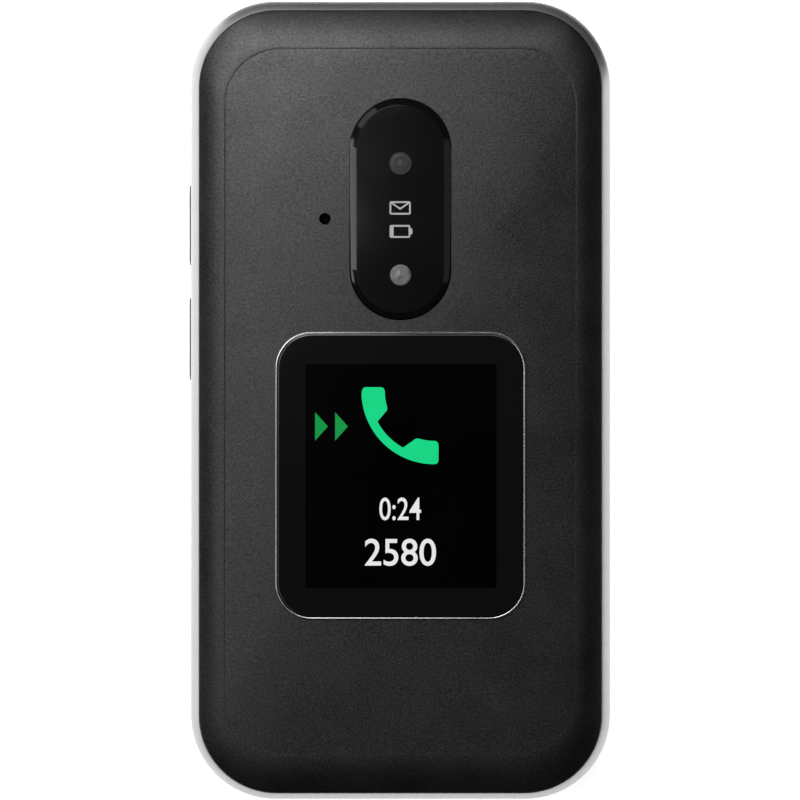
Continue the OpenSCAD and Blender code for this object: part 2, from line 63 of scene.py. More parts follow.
def rr(w, l, r, cx=0.0, cy=0.0, nc=12, nx=1, ny=1):
    """Points of a rounded rectangle, counter-clockwise."""
    r = max(min(r, w / 2 - 1e-4, l / 2 - 1e-4), 1e-4)
    corners = [
        (w / 2 - r, l / 2 - r, 0),
        (r - w / 2, l / 2 - r, 90),
        (r - w / 2, r - l / 2, 180),
        (w / 2 - r, r - l / 2, 270),
    ]
    out = []
    for i, (x, y, a) in enumerate(corners):
        for k in range(nc + 1):
            t = math.radians(a + 90 * k / nc)
            out.append((x + r * math.cos(t), y + r * math.sin(t)))
        t = math.radians(a + 90)
        p = out[-1]
        nxt = corners[(i + 1) % 4]
        q = (nxt[0] + r * math.cos(t), nxt[1] + r * math.sin(t))
        n = nx if i % 2 == 0 else ny
        for k in range(1, n):
            out.append((p[0] + (q[0] - p[0]) * k / n, p[1] + (q[1] - p[1]) * k / n))
    return np.array(out) + np.array([cx, cy])


def circle(r, n=64, cx=0.0, cy=0.0):
    t = np.arange(n) * 2 * np.pi / n
    return np.stack([cx + r * np.cos(t), cy + r * np.sin(t)], 1)


def at(contour, z):
    return np.column_stack([contour, np.full(len(contour), float(z))])


def solid(verts, faces):
    me = bpy.data.meshes.new("work")
    me.from_pydata([tuple(map(float, v)) for v in verts], [], faces)
    me.update()
    o = bpy.data.objects.new("work", me)
    COLLECTION.objects.link(o)
    bm = bmesh.new()
    bm.from_mesh(me)
    bmesh.ops.recalc_face_normals(bm, faces=bm.faces)
    bm.to_mesh(me)
    bm.free()
    return o


def loft(rings, loop=False):
    n, m = len(rings[0]), len(rings)
    faces = []
    for i in range(m if loop else m - 1):
        a, b = i * n, ((i + 1) % m) * n
        for k in range(n):
            k2 = (k + 1) % n
            faces.append((a + k, a + k2, b + k2, b + k))
    if not loop:
        faces.append(tuple(range(n))[::-1])
        faces.append(tuple((m - 1) * n + k for k in range(n)))
    return solid(np.concatenate(rings), faces)


def turned(o, axis, centre=(0, 0, 0)):
    """Turns a shape built along Z so that it points along axis: '+x', '-x', '-y', '-z' or '+z'."""
    m = {
        "+x": Matrix(((0, 0, 1, 0), (1, 0, 0, 0), (0, 1, 0, 0), (0, 0, 0, 1))),
        "-x": Matrix(((0, 0, -1, 0), (-1, 0, 0, 0), (0, 1, 0, 0), (0, 0, 0, 1))),
        "-y": Matrix(((1, 0, 0, 0), (0, 0, -1, 0), (0, 1, 0, 0), (0, 0, 0, 1))),
        "-z": Matrix(((-1, 0, 0, 0), (0, 1, 0, 0), (0, 0, -1, 0), (0, 0, 0, 1))),
        "+z": Matrix.Identity(4),
    }[axis]
    o.data.transform(Matrix.Translation(Vector(centre)) @ m)
    if m.determinant() < 0:
        o.data.flip_normals()
    return o


def lathe(profile, n=64, axis="+z", centre=(0, 0, 0)):
    """A turned shape from [radius, height] pairs."""
    return turned(loft([at(circle(max(r, 1e-3), n), z) for r, z in profile]), axis, centre)


def extrude(points, z0, z1):
    p = np.array(points, float)
    return loft([at(p, z0), at(p, z1)])


def box(a, b):
    return loft([at(np.array([(a[0], a[1]), (b[0], a[1]), (b[0], b[1]), (a[0], b[1])]), z) for z in (a[2], b[2])])


def on_axis(r, x0, x1, n=96, chamfer=0.0):
    """A cylinder along the hinge axis."""
    c = chamfer
    p = [(r - c, x0), (r, x0 + c), (r, x1 - c), (r - c, x1)] if c else [(r, x0), (r, x1)]
    return lathe(p, n, "+x", (0, HINGE_Y, HINGE_Z))


def along_x(points_yz, x0, x1):
    """A prism along X whose section is drawn in (y, z)."""
    p = np.array(points_yz, float)
    v = [(x, y, z) for x in (x0, x1) for y, z in p]
    n = len(p)
    faces = [(k, (k + 1) % n, n + (k + 1) % n, n + k) for k in range(n)]
    faces += [tuple(range(n)), tuple(range(2 * n - 1, n - 1, -1))]
    return solid(v, faces)


def combine(o, tools, op="DIFFERENCE"):
    """Exact boolean of o with each of the tools, which are used up."""
    for t in tools if isinstance(tools, (list, tuple)) else [tools]:
        m = o.modifiers.new("cut", "BOOLEAN")
        m.operation, m.object, m.solver = op, t, "EXACT"
        dg = bpy.context.evaluated_depsgraph_get()
        me = bpy.data.meshes.new_from_object(o.evaluated_get(dg))
        o.modifiers.clear()
        old, o.data = o.data, me
        bpy.data.meshes.remove(old)
        spent = t.data
        bpy.data.objects.remove(t)
        bpy.data.meshes.remove(spent)
    return o


def joined(parts):
    """Several separate shapes as one object."""
    verts, faces, start = [], [], 0
    for o in parts:
        verts += [tuple(v.co) for v in o.data.vertices]
        faces += [tuple(start + i for i in p.vertices) for p in o.data.polygons]
        start += len(o.data.vertices)
        me = o.data
        bpy.data.objects.remove(o)
        bpy.data.meshes.remove(me)
    me = bpy.data.meshes.new("work")
    me.from_pydata(verts, [], faces)
    me.update()
    o = bpy.data.objects.new("work", me)
    COLLECTION.objects.link(o)
    return o


def copy_of(node):
    """A working copy of a CAD node's mesh, in millimetres, with its points merged."""
    me = NODES[node].data.copy()
    me.materials.clear()
    me.transform(Matrix.Scale(1000, 4))
    o = bpy.data.objects.new("work", me)
    COLLECTION.objects.link(o)
    bm = bmesh.new()
    bm.from_mesh(me)
    bmesh.ops.remove_doubles(bm, verts=bm.verts, dist=0.0008)
    bmesh.ops.dissolve_limit(bm, angle_limit=math.radians(0.3), verts=bm.verts, edges=bm.edges)
    bmesh.ops.recalc_face_normals(bm, faces=bm.faces)
    bm.to_mesh(me)
    bm.free()
    return o


def rounded(o, width, segments=2, angle=30):
    """Rounds the hard edges."""
    m = o.modifiers.new("round", "BEVEL")
    m.width, m.segments, m.limit_method = width, segments, "ANGLE"
    m.angle_limit = math.radians(angle)
    m.use_clamp_overlap = True
    m.miter_outer = "MITER_ARC"
    dg = bpy.context.evaluated_depsgraph_get()
    me = bpy.data.meshes.new_from_object(o.evaluated_get(dg))
    o.modifiers.clear()
    old, o.data = o.data, me
    bpy.data.meshes.remove(old)
    return o


def finish_piece(o, name, body, material, replaces=(), angle=34, weighted=True):
    """Names the piece, brings it to metres, shades it and puts it on its body."""
    bm = bmesh.new()
    bm.from_mesh(o.data)
    bmesh.ops.remove_doubles(bm, verts=bm.verts, dist=2e-4)
    bmesh.ops.dissolve_degenerate(bm, dist=5e-5, edges=bm.edges)
    bmesh.ops.recalc_face_normals(bm, faces=bm.faces)
    for f in bm.faces:
        f.smooth = True
        f.material_index = 0
    for e in bm.edges:
        e.smooth = len(e.link_faces) == 2 and e.calc_face_angle(0.0) < math.radians(angle)
    bm.to_mesh(o.data)
    bm.free()
    o.data.transform(Matrix.Scale(MM, 4))
    o.name = o.data.name = name
    o.data.materials.clear()
    o.data.materials.append(material)
    if weighted:
        m = o.modifiers.new("normals", "WEIGHTED_NORMAL")
        m.keep_sharp = True
        m.weight = 80
    if replaces:
        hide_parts(*replaces)
    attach(o, body)
    return o


# ------------------------------------------------------------------
# materials
# ------------------------------------------------------------------


def material(name, color, rough=0.5, metal=0.0, grain=4000.0, bump=0.15, depth=0.00002, tint=0.12,
             patch=70.0, rough_var=0.05, speck=0.0, wear=0.0, ior=1.5, coat=0.0, coat_rough=0.05,
             emission=0.0, transmission=0.0, brushed=None, spec=0.5, sparkle=0.0):
    """A procedural plastic, glass or metal: fine grain in the bump, soft patches in colour and
    roughness, and paler worn edges."""
    m = bpy.data.materials.new(name)
    m.use_nodes = True
    nt = m.node_tree
    nt.nodes.clear()
    new, link = nt.nodes.new, nt.links.new
    out = new("ShaderNodeOutputMaterial")
    b = new("ShaderNodeBsdfPrincipled")
    link(b.outputs[0], out.inputs[0])
    b.inputs["Metallic"].default_value = metal
    b.inputs["IOR"].default_value = ior
    b.inputs["Specular IOR Level"].default_value = spec
    if coat:
        b.inputs["Coat Weight"].default_value = coat
        b.inputs["Coat Roughness"].default_value = coat_rough
    if transmission:
        b.inputs["Transmission Weight"].default_value = transmission
    where = new("ShaderNodeTexCoord")
    source = where.outputs["Object"]
    if brushed:
        mapping = new("ShaderNodeMapping")
        mapping.inputs["Scale"].default_value = brushed
        link(source, mapping.inputs["Vector"])
        source = mapping.outputs["Vector"]
    fine = new("ShaderNodeTexNoise")
    fine.inputs["Scale"].default_value = grain
    fine.inputs["Detail"].default_value = 2.0
    fine.inputs["Roughness"].default_value = 0.6
    link(source, fine.inputs["Vector"])
    broad = new("ShaderNodeTexNoise")
    broad.inputs["Scale"].default_value = patch
    broad.inputs["Detail"].default_value = 4.0
    link(where.outputs["Object"], broad.inputs["Vector"])
    # colour: the base colour with soft patches, fine specks and worn edges
    lo = [c * (1 - tint) for c in color] + [1]
    hi = [min(1.0, c * (1 + tint)) for c in color] + [1]
    ramp = new("ShaderNodeValToRGB")
    ramp.color_ramp.elements[0].position, ramp.color_ramp.elements[0].color = 0.3, lo
    ramp.color_ramp.elements[1].position, ramp.color_ramp.elements[1].color = 0.7, hi
    link(broad.outputs["Fac"], ramp.inputs["Fac"])
    colour = ramp.outputs["Color"]
    if speck:
        specks = new("ShaderNodeMapRange")
        specks.inputs["From Min"].default_value, specks.inputs["From Max"].default_value = 0.35, 0.65
        specks.inputs["To Min"].default_value, specks.inputs["To Max"].default_value = 1 - speck, 1 + speck
        link(fine.outputs["Fac"], specks.inputs["Value"])
        scale = new("ShaderNodeVectorMath")
        scale.operation = "SCALE"
        link(colour, scale.inputs[0])
        link(specks.outputs["Result"], scale.inputs["Scale"])
        colour = scale.outputs["Vector"]
    if wear:
        geo = new("ShaderNodeNewGeometry")
        edge = new("ShaderNodeMapRange")
        edge.inputs["From Min"].default_value, edge.inputs["From Max"].default_value = 0.53, 0.62
        edge.inputs["To Min"].default_value, edge.inputs["To Max"].default_value = 0.0, wear
        link(geo.outputs["Pointiness"], edge.inputs["Value"])
        rub = new("ShaderNodeMix")
        rub.data_type = "RGBA"
        rub.inputs["B"].default_value = [min(1.0, c * 1.6 + 0.02) for c in color] + [1]
        link(edge.outputs["Result"], rub.inputs["Factor"])
        link(colour, rub.inputs["A"])
        colour = rub.outputs["Result"]
    if emission:
        b.inputs["Emission Strength"].default_value = emission
        b.inputs["Base Color"].default_value = (0.01, 0.01, 0.01, 1)
        link(colour, b.inputs["Emission Color"])
    else:
        link(colour, b.inputs["Base Color"])
    # roughness
    gloss = new("ShaderNodeMapRange")
    gloss.inputs["From Min"].default_value, gloss.inputs["From Max"].default_value = 0.3, 0.7
    gloss.inputs["To Min"].default_value = max(0.02, rough - rough_var)
    gloss.inputs["To Max"].default_value = min(1.0, rough + rough_var)
    link(broad.outputs["Fac"], gloss.inputs["Value"])
    link(gloss.outputs["Result"], b.inputs["Roughness"])
    # fine glints
    if sparkle:
        glint = new("ShaderNodeMapRange")
        glint.inputs["From Min"].default_value, glint.inputs["From Max"].default_value = 0.3, 0.7
        glint.inputs["To Min"].default_value = spec * (1 - sparkle)
        glint.inputs["To Max"].default_value = spec * (1 + sparkle)
        link(fine.outputs["Fac"], glint.inputs["Value"])
        link(glint.outputs["Result"], b.inputs["Specular IOR Level"])
    # grain
    if bump:
        relief = new("ShaderNodeBump")
        relief.inputs["Strength"].default_value = bump
        relief.inputs["Distance"].default_value = depth
        link(fine.outputs["Fac"], relief.inputs["Height"])
        link(relief.outputs["Normal"], b.inputs["Normal"])
    return m


COVER = material("cover_grain", (0.0022, 0.0022, 0.0023), 0.42, grain=3700, bump=0.8, depth=0.000032, tint=0.15,
                 patch=140, rough_var=0.05, speck=0.25, wear=0.1, sparkle=0.3)
SILVER = material("silver_paint", (0.49, 0.49, 0.50), 0.44, metal=0.92, grain=9000, bump=0.06, depth=0.00001,
                  tint=0.03, patch=60, rough_var=0.03, speck=0.05, wear=0.1)
PILL = material("pill_gloss", (0.0026, 0.0026, 0.0027), 0.12, grain=1500, bump=0.02, depth=0.000004, tint=0.1,
                patch=50, rough_var=0.03, coat=0.0)
GLASS = material("window_glass", (0.0045, 0.0045, 0.0046), 0.08, grain=900, bump=0.01, depth=0.000002, tint=0.1,
                 patch=40, rough_var=0.02)
SCREEN = material("screen_black", (0.0002, 0.0002, 0.0002), 0.35, grain=7000, bump=0.0, tint=0.2, spec=0.02)
RIM = material("polished_rim", (0.42, 0.42, 0.43), 0.22, metal=1.0, grain=6000, bump=0.05, depth=0.000005, tint=0.04,
               patch=80, rough_var=0.04)
LENS = material("lens_glass", (0.022, 0.023, 0.024), 0.36, spec=0.2, grain=3000, bump=0.02, depth=0.000003, tint=0.12, patch=900,
                rough_var=0.05)
# the lens's centre cap is coloured lighter than the lens glass: a painted highlight for the small bright spot in the
# lens's middle
LENS_CENTRE_HIGHLIGHT = material("lens_centre_painted_highlight", (0.035, 0.035, 0.037), 0.3, spec=0.25, grain=4000, bump=0.05, depth=0.000005, tint=0.2,
                     patch=600)
FLASH = material("flash_lens", (0.115, 0.115, 0.114), 0.34, grain=1500, bump=0.1, depth=0.00002, tint=0.3, patch=1100,
                 rough_var=0.08)
PRINT = material("grey_print", (0.37, 0.37, 0.37), 0.5, grain=9000, bump=0.05, depth=0.000004, tint=0.05, patch=400)
GREEN = material("screen_green", (0.003, 0.66, 0.225), 0.5, grain=7000, bump=0.0, tint=0.03, patch=300, emission=1.0, spec=0.0)
DARK_GREEN = material("screen_dark_green", (0.0018, 0.292, 0.053), 0.5, grain=7000, bump=0.0, tint=0.03, patch=300,
                      emission=1.0, spec=0.0)
WHITE = material("screen_white", (0.79, 0.79, 0.79), 0.5, grain=7000, bump=0.0, tint=0.02, patch=300, emission=1.0, spec=0.0)
INNER = material("inner_gloss", (0.009, 0.009, 0.010), 0.22, grain=3000, bump=0.04, depth=0.000006, tint=0.12,
                 patch=60, rough_var=0.05, wear=0.1)
PANEL = material("panel_gloss", (0.010, 0.010, 0.011), 0.3, grain=3500, bump=0.08, depth=0.00001, tint=0.12, patch=70,
                 rough_var=0.05, wear=0.12)
BACK = material("back_grain", (0.010, 0.010, 0.0105), 0.52, grain=3600, bump=0.4, depth=0.00004, tint=0.15, patch=80,
                rough_var=0.04, speck=0.3, wear=0.2)
KEY = material("key_satin", (0.030, 0.030, 0.032), 0.42, grain=5000, bump=0.2, depth=0.00002, tint=0.1, patch=90,
               rough_var=0.05, speck=0.12, wear=0.2)
KEY_PRINT = material("key_print", (0.82, 0.82, 0.80), 0.5, grain=9000, bump=0.1, depth=0.000005, tint=0.04, patch=300)
KEY_GREEN = material("key_print_green", (0.02, 0.55, 0.12), 0.5, grain=9000, bump=0.1, depth=0.000005, tint=0.06, patch=300)
KEY_RED = material("key_print_red", (0.70, 0.03, 0.02), 0.5, grain=9000, bump=0.1, depth=0.000005, tint=0.06, patch=300)
SIDE = material("side_key", (0.012, 0.012, 0.0125), 0.45, grain=4500, bump=0.2, depth=0.00002, tint=0.1, patch=120,
                speck=0.15, wear=0.2)
RING = material("ring_silver", (0.50, 0.50, 0.51), 0.3, metal=0.85, grain=8000, bump=0.08, depth=0.00001, tint=0.04,
                patch=80, rough_var=0.05, wear=0.2)
STEEL = material("steel", (0.52, 0.52, 0.53), 0.3, metal=1.0, grain=900, bump=0.12, depth=0.000008, tint=0.06, patch=200,
                 rough_var=0.08, brushed=(1.0, 0.08, 1.0))
RUBBER = material("rubber", (0.012, 0.012, 0.012), 0.75, grain=5000, bump=0.3, depth=0.00002, tint=0.12, patch=200,
                  wear=0.1)
GOLD = material("gold_contact", (0.83, 0.60, 0.25), 0.24, metal=1.0, grain=3000, bump=0.1, depth=0.000006, tint=0.08,
                patch=700, rough_var=0.08, wear=0.2)
SOCKET = material("socket_plastic", (0.008, 0.008, 0.008), 0.4, grain=5000, bump=0.1, depth=0.00001, tint=0.15, patch=200)
BATTERY = material("battery_wrap", (0.085, 0.09, 0.10), 0.4, grain=2500, bump=0.2, depth=0.00003, tint=0.12, patch=60,
                   rough_var=0.08, wear=0.15)
BOARD = material("solder_mask", (0.012, 0.09, 0.035), 0.35, grain=2500, bump=0.2, depth=0.00002, tint=0.2, patch=250)
DOME = material("dome_film", (0.45, 0.45, 0.43), 0.35, grain=3000, bump=0.1, depth=0.00001, tint=0.06, patch=200)
FLEX = material("flex_film", (0.45, 0.20, 0.035), 0.3, grain=3000, bump=0.1, depth=0.00001, tint=0.1, patch=300)
MODULE = material("module", (0.03, 0.03, 0.033), 0.45, grain=4000, bump=0.15, depth=0.00001, tint=0.1, patch=200)
BUTTON = material("help_button", (0.035, 0.035, 0.037), 0.4, grain=5000, bump=0.2, depth=0.00002, tint=0.1, patch=150,
                  speck=0.1, wear=0.2)

BY_SLOT = {
    "cover_black": COVER, "frame_silver": SILVER, "inner_black": INNER, "panel_black": PANEL, "back_black": BACK,
    "window_black": GLASS, "lens_glass": LENS, "flash_clear": FLASH, "rim_metal": RIM, "module_grey": MODULE,
    "board_green": BOARD, "steel": STEEL, "rubber_black": RUBBER, "dome_film": DOME, "battery_grey": BATTERY,
    "socket_black": SOCKET, "contact_gold": GOLD, "flex_amber": FLEX, "side_key_black": SIDE, "button_grey": BUTTON,
    "key_grey": KEY, "ring_silver": RING, "key_green": KEY, "key_red": KEY,
}
for node in NODES.values():
    for s in node.material_slots:
        s.material = BY_SLOT[s.material.name.split(".")[0]]

# ------------------------------------------------------------------
# lid: the black cover
# ------------------------------------------------------------------

NC, NX, NY = 18, 14, 28


def cover_ring(t, z, grow=0.0):
    """t is 0 at the cover's outline and 1 at the crease that frames its top."""
    return at(rr(COVER_W - 2 * 3.4 * t + 2 * grow, COVER_L - 2 * 5.1 * t + 2 * grow,
                 COVER_R + (7.4 - COVER_R) * t + grow, 0, COVER_DY, NC, NX, NY), z)


def top_ring(s, z):
    """s is 1 at the crease and 0 in the middle."""
    return at(rr((COVER_W - 6.8) * s, (COVER_L - 10.2) * s, 7.4 * s ** 0.8, 0, COVER_DY * 1.0, NC, NX, NY), z)


CREASE_Z, CROWN_Z = 17.92, 18.78
rings = [at(rr(COVER_W - 2 * i, COVER_L - 2 * i, COVER_R - i, 0, COVER_DY, NC, NX, NY), z)
         for i, z in ((5.2, 17.2), (3.6, 17.0), (2.4, 16.5), (1.6, 15.7), (1.2, 15.0), (1.2, 13.72), (1.12, 13.65), (0.06, 13.65))]


def ended(t, z):
    """The cover's edge is a little lower round the hinge end than along the other sides."""
    ring = cover_ring(t, z)
    az = np.degrees(np.arctan2(ring[:, 1] - 41.2 + 2.25 * t, np.maximum(np.abs(ring[:, 0]) - 16.3 + 0.55 * t, 0)))
    w = np.clip((az - 50) / 38, 0, 1)
    ring[:, 2] -= w * w * (3 - 2 * w) * 0.66 * (1 - t) * (1 - 0.597 * t)
    return ring


rings += [cover_ring(0, 13.72), ended(0, 16.7), ended(0.006, 16.755), ended(0.018, 16.79)]
for i in (0.13, 0.3, 0.55, 0.85, 1.15, 1.5, 1.85, 2.2, 2.55, 2.9, 3.15):
    rings.append(ended(i / 3.4, 16.76 + 0.62 * i - 0.0824 * i * i))


def creased(ring, depth):
    """The crease is deepest at the upper left and runs out towards the lower right."""
    k = np.clip(0.55 + ring[:, 1] / 95 - ring[:, 0] / 60, 0, 1)
    out = ring.copy()
    out[:, 2] -= depth * k * k * (3 - 2 * k)
    return out


rings += [creased(cover_ring(0.974, CREASE_Z - 0.008), 0.012), creased(cover_ring(0.99, CREASE_Z - 0.004), 0.024),
          creased(cover_ring(1.0, CREASE_Z), 0.045)]
rings += [creased(top_ring(0.9965, CREASE_Z + 0.003), 0.026), creased(top_ring(0.993, CREASE_Z + 0.006), 0.004)]
rings += [top_ring(s, CREASE_Z + (CROWN_Z - CREASE_Z) * (1 - s ** 2.7)) for s in
          (0.97, 0.94, 0.9, 0.86, 0.82, 0.78, 0.73, 0.68, 0.63, 0.58, 0.5, 0.42, 0.34, 0.26, 0.18, 0.1, 0.03)]


def cleared(ring):
    """Over the hinge the cover keeps inside the round room it needs to swing open."""
    out = ring.copy()
    roof = HINGE_Z + np.sqrt(8.12 ** 2 - np.clip(ring[:, 1] - HINGE_Y, 0, 8) ** 2)
    out[:, 2] = np.where(ring[:, 1] > HINGE_Y + 3, np.minimum(ring[:, 2], roof), ring[:, 2])
    return out


cover = loft([cleared(ring) for ring in rings])
cuts = joined([
    loft([at(rr(CAM_W + 0.05, CAM_L + 0.05, CAM_W / 2 + 0.025, 0, CAM_Y, 32, 2, 4), z) for z in (14, 22)]),
    loft([at(rr(DISP_W + 0.06, DISP_L + 0.06, DISP_R + 0.03, 0, DISP_Y, 14, 4, 4), z) for z in (14, 22)]),
    lathe([(0.66, 14), (0.66, 18.36), (0.9, 18.9), (0.9, 20)], 40, "+z", (MIC[0], MIC[1], 0)),
])
combine(cover, cuts)
combine(cover, [on_axis(6.26, -18.6, -12.48), on_axis(6.26, 12.48, 18.6), on_axis(6.7, -12.5, 12.5)])
finish_piece(cover, "lid_cover_shell", "lid", COVER, ["lid_outer_cover"], angle=30)

mic = lathe([(0.64, 17.0), (0.64, 17.35), (0.5, 17.4), (0.2, 17.36), (0.05, 17.36)], 32, "+z", (MIC[0], MIC[1], 0))
finish_piece(mic, "lid_microphone_mesh", "lid", SCREEN)

# ------------------------------------------------------------------
# lid: the silver frame with its two knuckles
# ------------------------------------------------------------------


def outline(i, z, grow=0.0):
    return at(rr(PHONE_W - 2 * i, PHONE_L - 2 * i, CORNER_R - i, 0, 0, NC, 6, 12), z)


def cover_edge(grow, z):
    return at(rr(COVER_W + 2 * grow, COVER_L + 2 * grow, COVER_R + grow, 0, COVER_DY, NC, 6, 12), z)


band_profile = [(1.55, 10.95), (0.12, 10.95), (0.03, 10.985), (0.0, 11.08), (0.0, 13.0)]
band_profile[-1] = (0.0, 11.9)
rings = [outline(i, z) for i, z in band_profile]
# the edge leans over, steep all the way, to the gap around the cover
LEAN = [(2.6 * (1 - math.cos(math.radians(a))), 11.9 + 3.4 * math.sin(math.radians(a)))
        for a in (3, 7, 12, 17, 22, 27, 32, 37, 42, 46, 50, 53)]
for i, z in LEAN:
    k = i / LEAN[-1][0]
    rings.append((1 - k) * outline(i, z) + k * cover_edge(0.1 + LEAN[-1][0] - i, z))
rings += [cover_edge(0.06, LEAN[-1][1] - 0.01), cover_edge(0.06, 13.6), outline(1.55, 13.58)]
band = loft(rings, loop=True)
arc = [(6.2 * math.cos(math.radians(a)), 6.2 * math.sin(math.radians(a))) for a in range(0, 181, 4)]
low = [(7.3 * math.cos(math.radians(a)), 7.3 * math.sin(math.radians(a))) for a in range(180, 361, 3)]
section = [(HINGE_Y + u, HINGE_Z + v) for u, v in
           [(6.2, 0.14)] + arc[1:-1] + [(-6.2, 0.14), (-7.29, 0.14)] + low + [(7.29, 0.14)]]
knuckles = joined([along_x(section, 12.5, 40), along_x(section, -40, -12.5)])
clip = loft([outline(0.05, 0), outline(0.05, 11.9)] + [outline(0.04 + i, z) for i, z in LEAN if z < 13.6])
combine(clip, box((-18.5, 30, 13), (18.5, 51, 17.5)), "UNION")
combine(clip, loft([cover_edge(-i, z) for i, z in ((1.3, 13), (1.3, 15), (1.7, 15.7), (2.5, 16.5), (3.7, 17), (5.2, 17.1))]), "UNION")
combine(knuckles, clip, "INTERSECT")
combine(band, knuckles, "UNION")
combine(band, [on_axis(6.7, -12.5, 12.5), box((-12.5, HINGE_Y, 9.95), (12.5, 70, 12.5)),
               on_axis(1.95, -22, -10), on_axis(3.0, 10, 18.5), on_axis(2.2, 18, 22)])
finish_piece(band, "lid_silver_frame", "lid", SILVER, ["lid_frame"], angle=30)

# ------------------------------------------------------------------
# lid: camera window, lens, flash and the two printed signs
# ------------------------------------------------------------------


def pill_ring(i, z):
    return at(rr(CAM_W - 2 * i, CAM_L - 2 * i, CAM_W / 2 - i, 0, CAM_Y, 32, 2, 12), z)


pill = loft([pill_ring(i, z) for i, z in
             ((0.3, 17.3), (0.0, 17.3), (0.0, 18.5), (0.02, 18.545), (0.06, 18.585), (0.9, 19.272), (0.93, 19.289), (0.97, 19.291))])
combine(pill, joined([
    lathe([(1.52, 16), (1.52, 21)], 64, "+z", (0, LENS_Y, 0)),
    lathe([(1.42, 16), (1.42, 21)], 64, "+z", (0, FLASH_Y, 0)),
]))
finish_piece(pill, "camera_window_gloss", "lid", PILL, ["camera_window"], angle=24)

lens = lathe([(1.5, 17.0), (1.5, 19.13), (1.48, 19.17), (1.43, 19.19), (1.3, 19.193), (1.27, 19.182), (1.23, 19.182), (1.2, 19.192),
              (0.9, 19.196), (0.6, 19.2), (0.3, 19.203), (0.02, 19.204)], 72, "+z", (0, LENS_Y, 0))
finish_piece(lens, "camera_lens_dome", "lid", LENS, ["camera_lens"], angle=50)
# the raised centre cap: its lighter colour is a painted highlight, and its glossier raised top also catches real light
# from the lamps
pupil = lathe([(0.36, 19.19), (0.36, 19.204), (0.3, 19.212), (0.14, 19.216), (0.02, 19.217)], 40, "+z", (0, LENS_Y, 0))
finish_piece(pupil, "camera_lens_pupil", "lid", LENS_CENTRE_HIGHLIGHT, angle=40)

# the flash lens is a shallow dome with a star of ribs
verts, faces = [], []
rad = [1.4, 1.4, 1.34, 1.2, 1.0, 0.8, 0.6, 0.4, 0.22, 0.08]
zed = [17.0, 19.1, 19.15, 19.155, 19.16, 19.165, 19.175, 19.21, 19.25, 19.265]
N = 72
for r, z in zip(rad, zed):
    for k in range(N):
        a = 2 * math.pi * k / N
        rib = 0.016 * math.cos(3 * a + 0.9) * (1 if 0.15 < r < 1.25 else 0)
        verts.append((r * math.cos(a), FLASH_Y + r * math.sin(a), z + rib))
for i in range(len(rad) - 1):
    for k in range(N):
        k2 = (k + 1) % N
        faces.append((i * N + k, i * N + k2, (i + 1) * N + k2, (i + 1) * N + k))
faces.append(tuple(range(N))[::-1])
faces.append(tuple((len(rad) - 1) * N + k for k in range(N)))
flash = combine(solid(verts, faces), box((-2, FLASH_Y - 2, 15.3), (2, FLASH_Y + 2, 17.05)), "UNION")
finish_piece(flash, "flash_lens_ribbed", "lid", FLASH, ["flash_lens"], angle=50)


def frame_plate(w, l, r, stroke, cx, cy, z0, z1, nc=5):
    """A flat frame with rounded corners."""
    return loft([at(rr(w - 2 * s, l - 2 * s, max(r - s, 0.03), cx, cy, nc), z)
                 for s, z in ((0, z0), (0, z1), (stroke, z1), (stroke, z0))], loop=True)


def strip(points, width, z0, z1, closed=False):
    """A flat strip of one width along a line of points, with square ends."""
    p = [Vector(q) for q in points]
    left, right = [], []
    for i, q in enumerate(p):
        a = (p[i] - p[i - 1]).normalized() if i else None
        b = (p[i + 1] - p[i]).normalized() if i < len(p) - 1 else None
        d = ((a or b) + (b or a)).normalized()
        n = Vector((-d.y, d.x))
        k = width / 2 / max(0.3, n.dot(Vector((-(a or b).y, (a or b).x))))
        left.append(tuple(q + n * k))
        right.append(tuple(q - n * k))
    return extrude(left + right[::-1], z0, z1)


def envelope(cx, cy, w, h, stroke, z0, z1):
    o = frame_plate(w, h, stroke * 1.1, stroke, cx, cy, z0, z1)
    e = stroke * 0.55
    flap = strip([(cx - w / 2 + e, cy + h / 2 - e), (cx, cy - h * 0.06), (cx + w / 2 - e, cy + h / 2 - e)], stroke * 0.92, z0, z1)
    return combine(o, flap, "UNION")


def battery_sign(cx, cy, w, h, stroke, z0, z1, fill):
    o = frame_plate(w, h, stroke * 1.1, stroke, cx, cy, z0, z1)
    combine(o, extrude(rr(fill, h - stroke * 0.6, 0.04, cx - w / 2 + fill / 2 + stroke * 0.3, cy, 3), z0, z1), "UNION")
    nub = extrude(rr(0.34, h * 0.46, 0.1, cx + w / 2 + 0.1, cy, 3), z0, z1)
    return combine(o, nub, "UNION")


mail = envelope(-0.033, 25.32, 2.8, 1.76, 0.232, 19.284, 19.2995)
finish_piece(mail, "camera_window_envelope", "lid", PRINT, angle=50, weighted=False)
charge = battery_sign(-0.06, 22.23, 2.74, 1.7, 0.232, 19.284, 19.2995, 0.46)
finish_piece(charge, "camera_window_charge_sign", "lid", PRINT, angle=50, weighted=False)

# ------------------------------------------------------------------
# lid: outer display
# ------------------------------------------------------------------


def disp_ring(i, z):
    return at(rr(DISP_W - 2 * i, DISP_L - 2 * i, DISP_R - i, 0, DISP_Y, 16, 2, 2), z)


def lowered(ring):
    """The rim lies flat at the top side and stands up, rounded, towards the bottom."""
    out = ring.copy()
    k = np.clip((DISP_Y + DISP_L / 2 - ring[:, 1]) / 9, 0.08, 1)
    out[:, 2] = np.where(ring[:, 2] > 18.76, 18.76 + (ring[:, 2] - 18.76) * k, ring[:, 2])
    return out


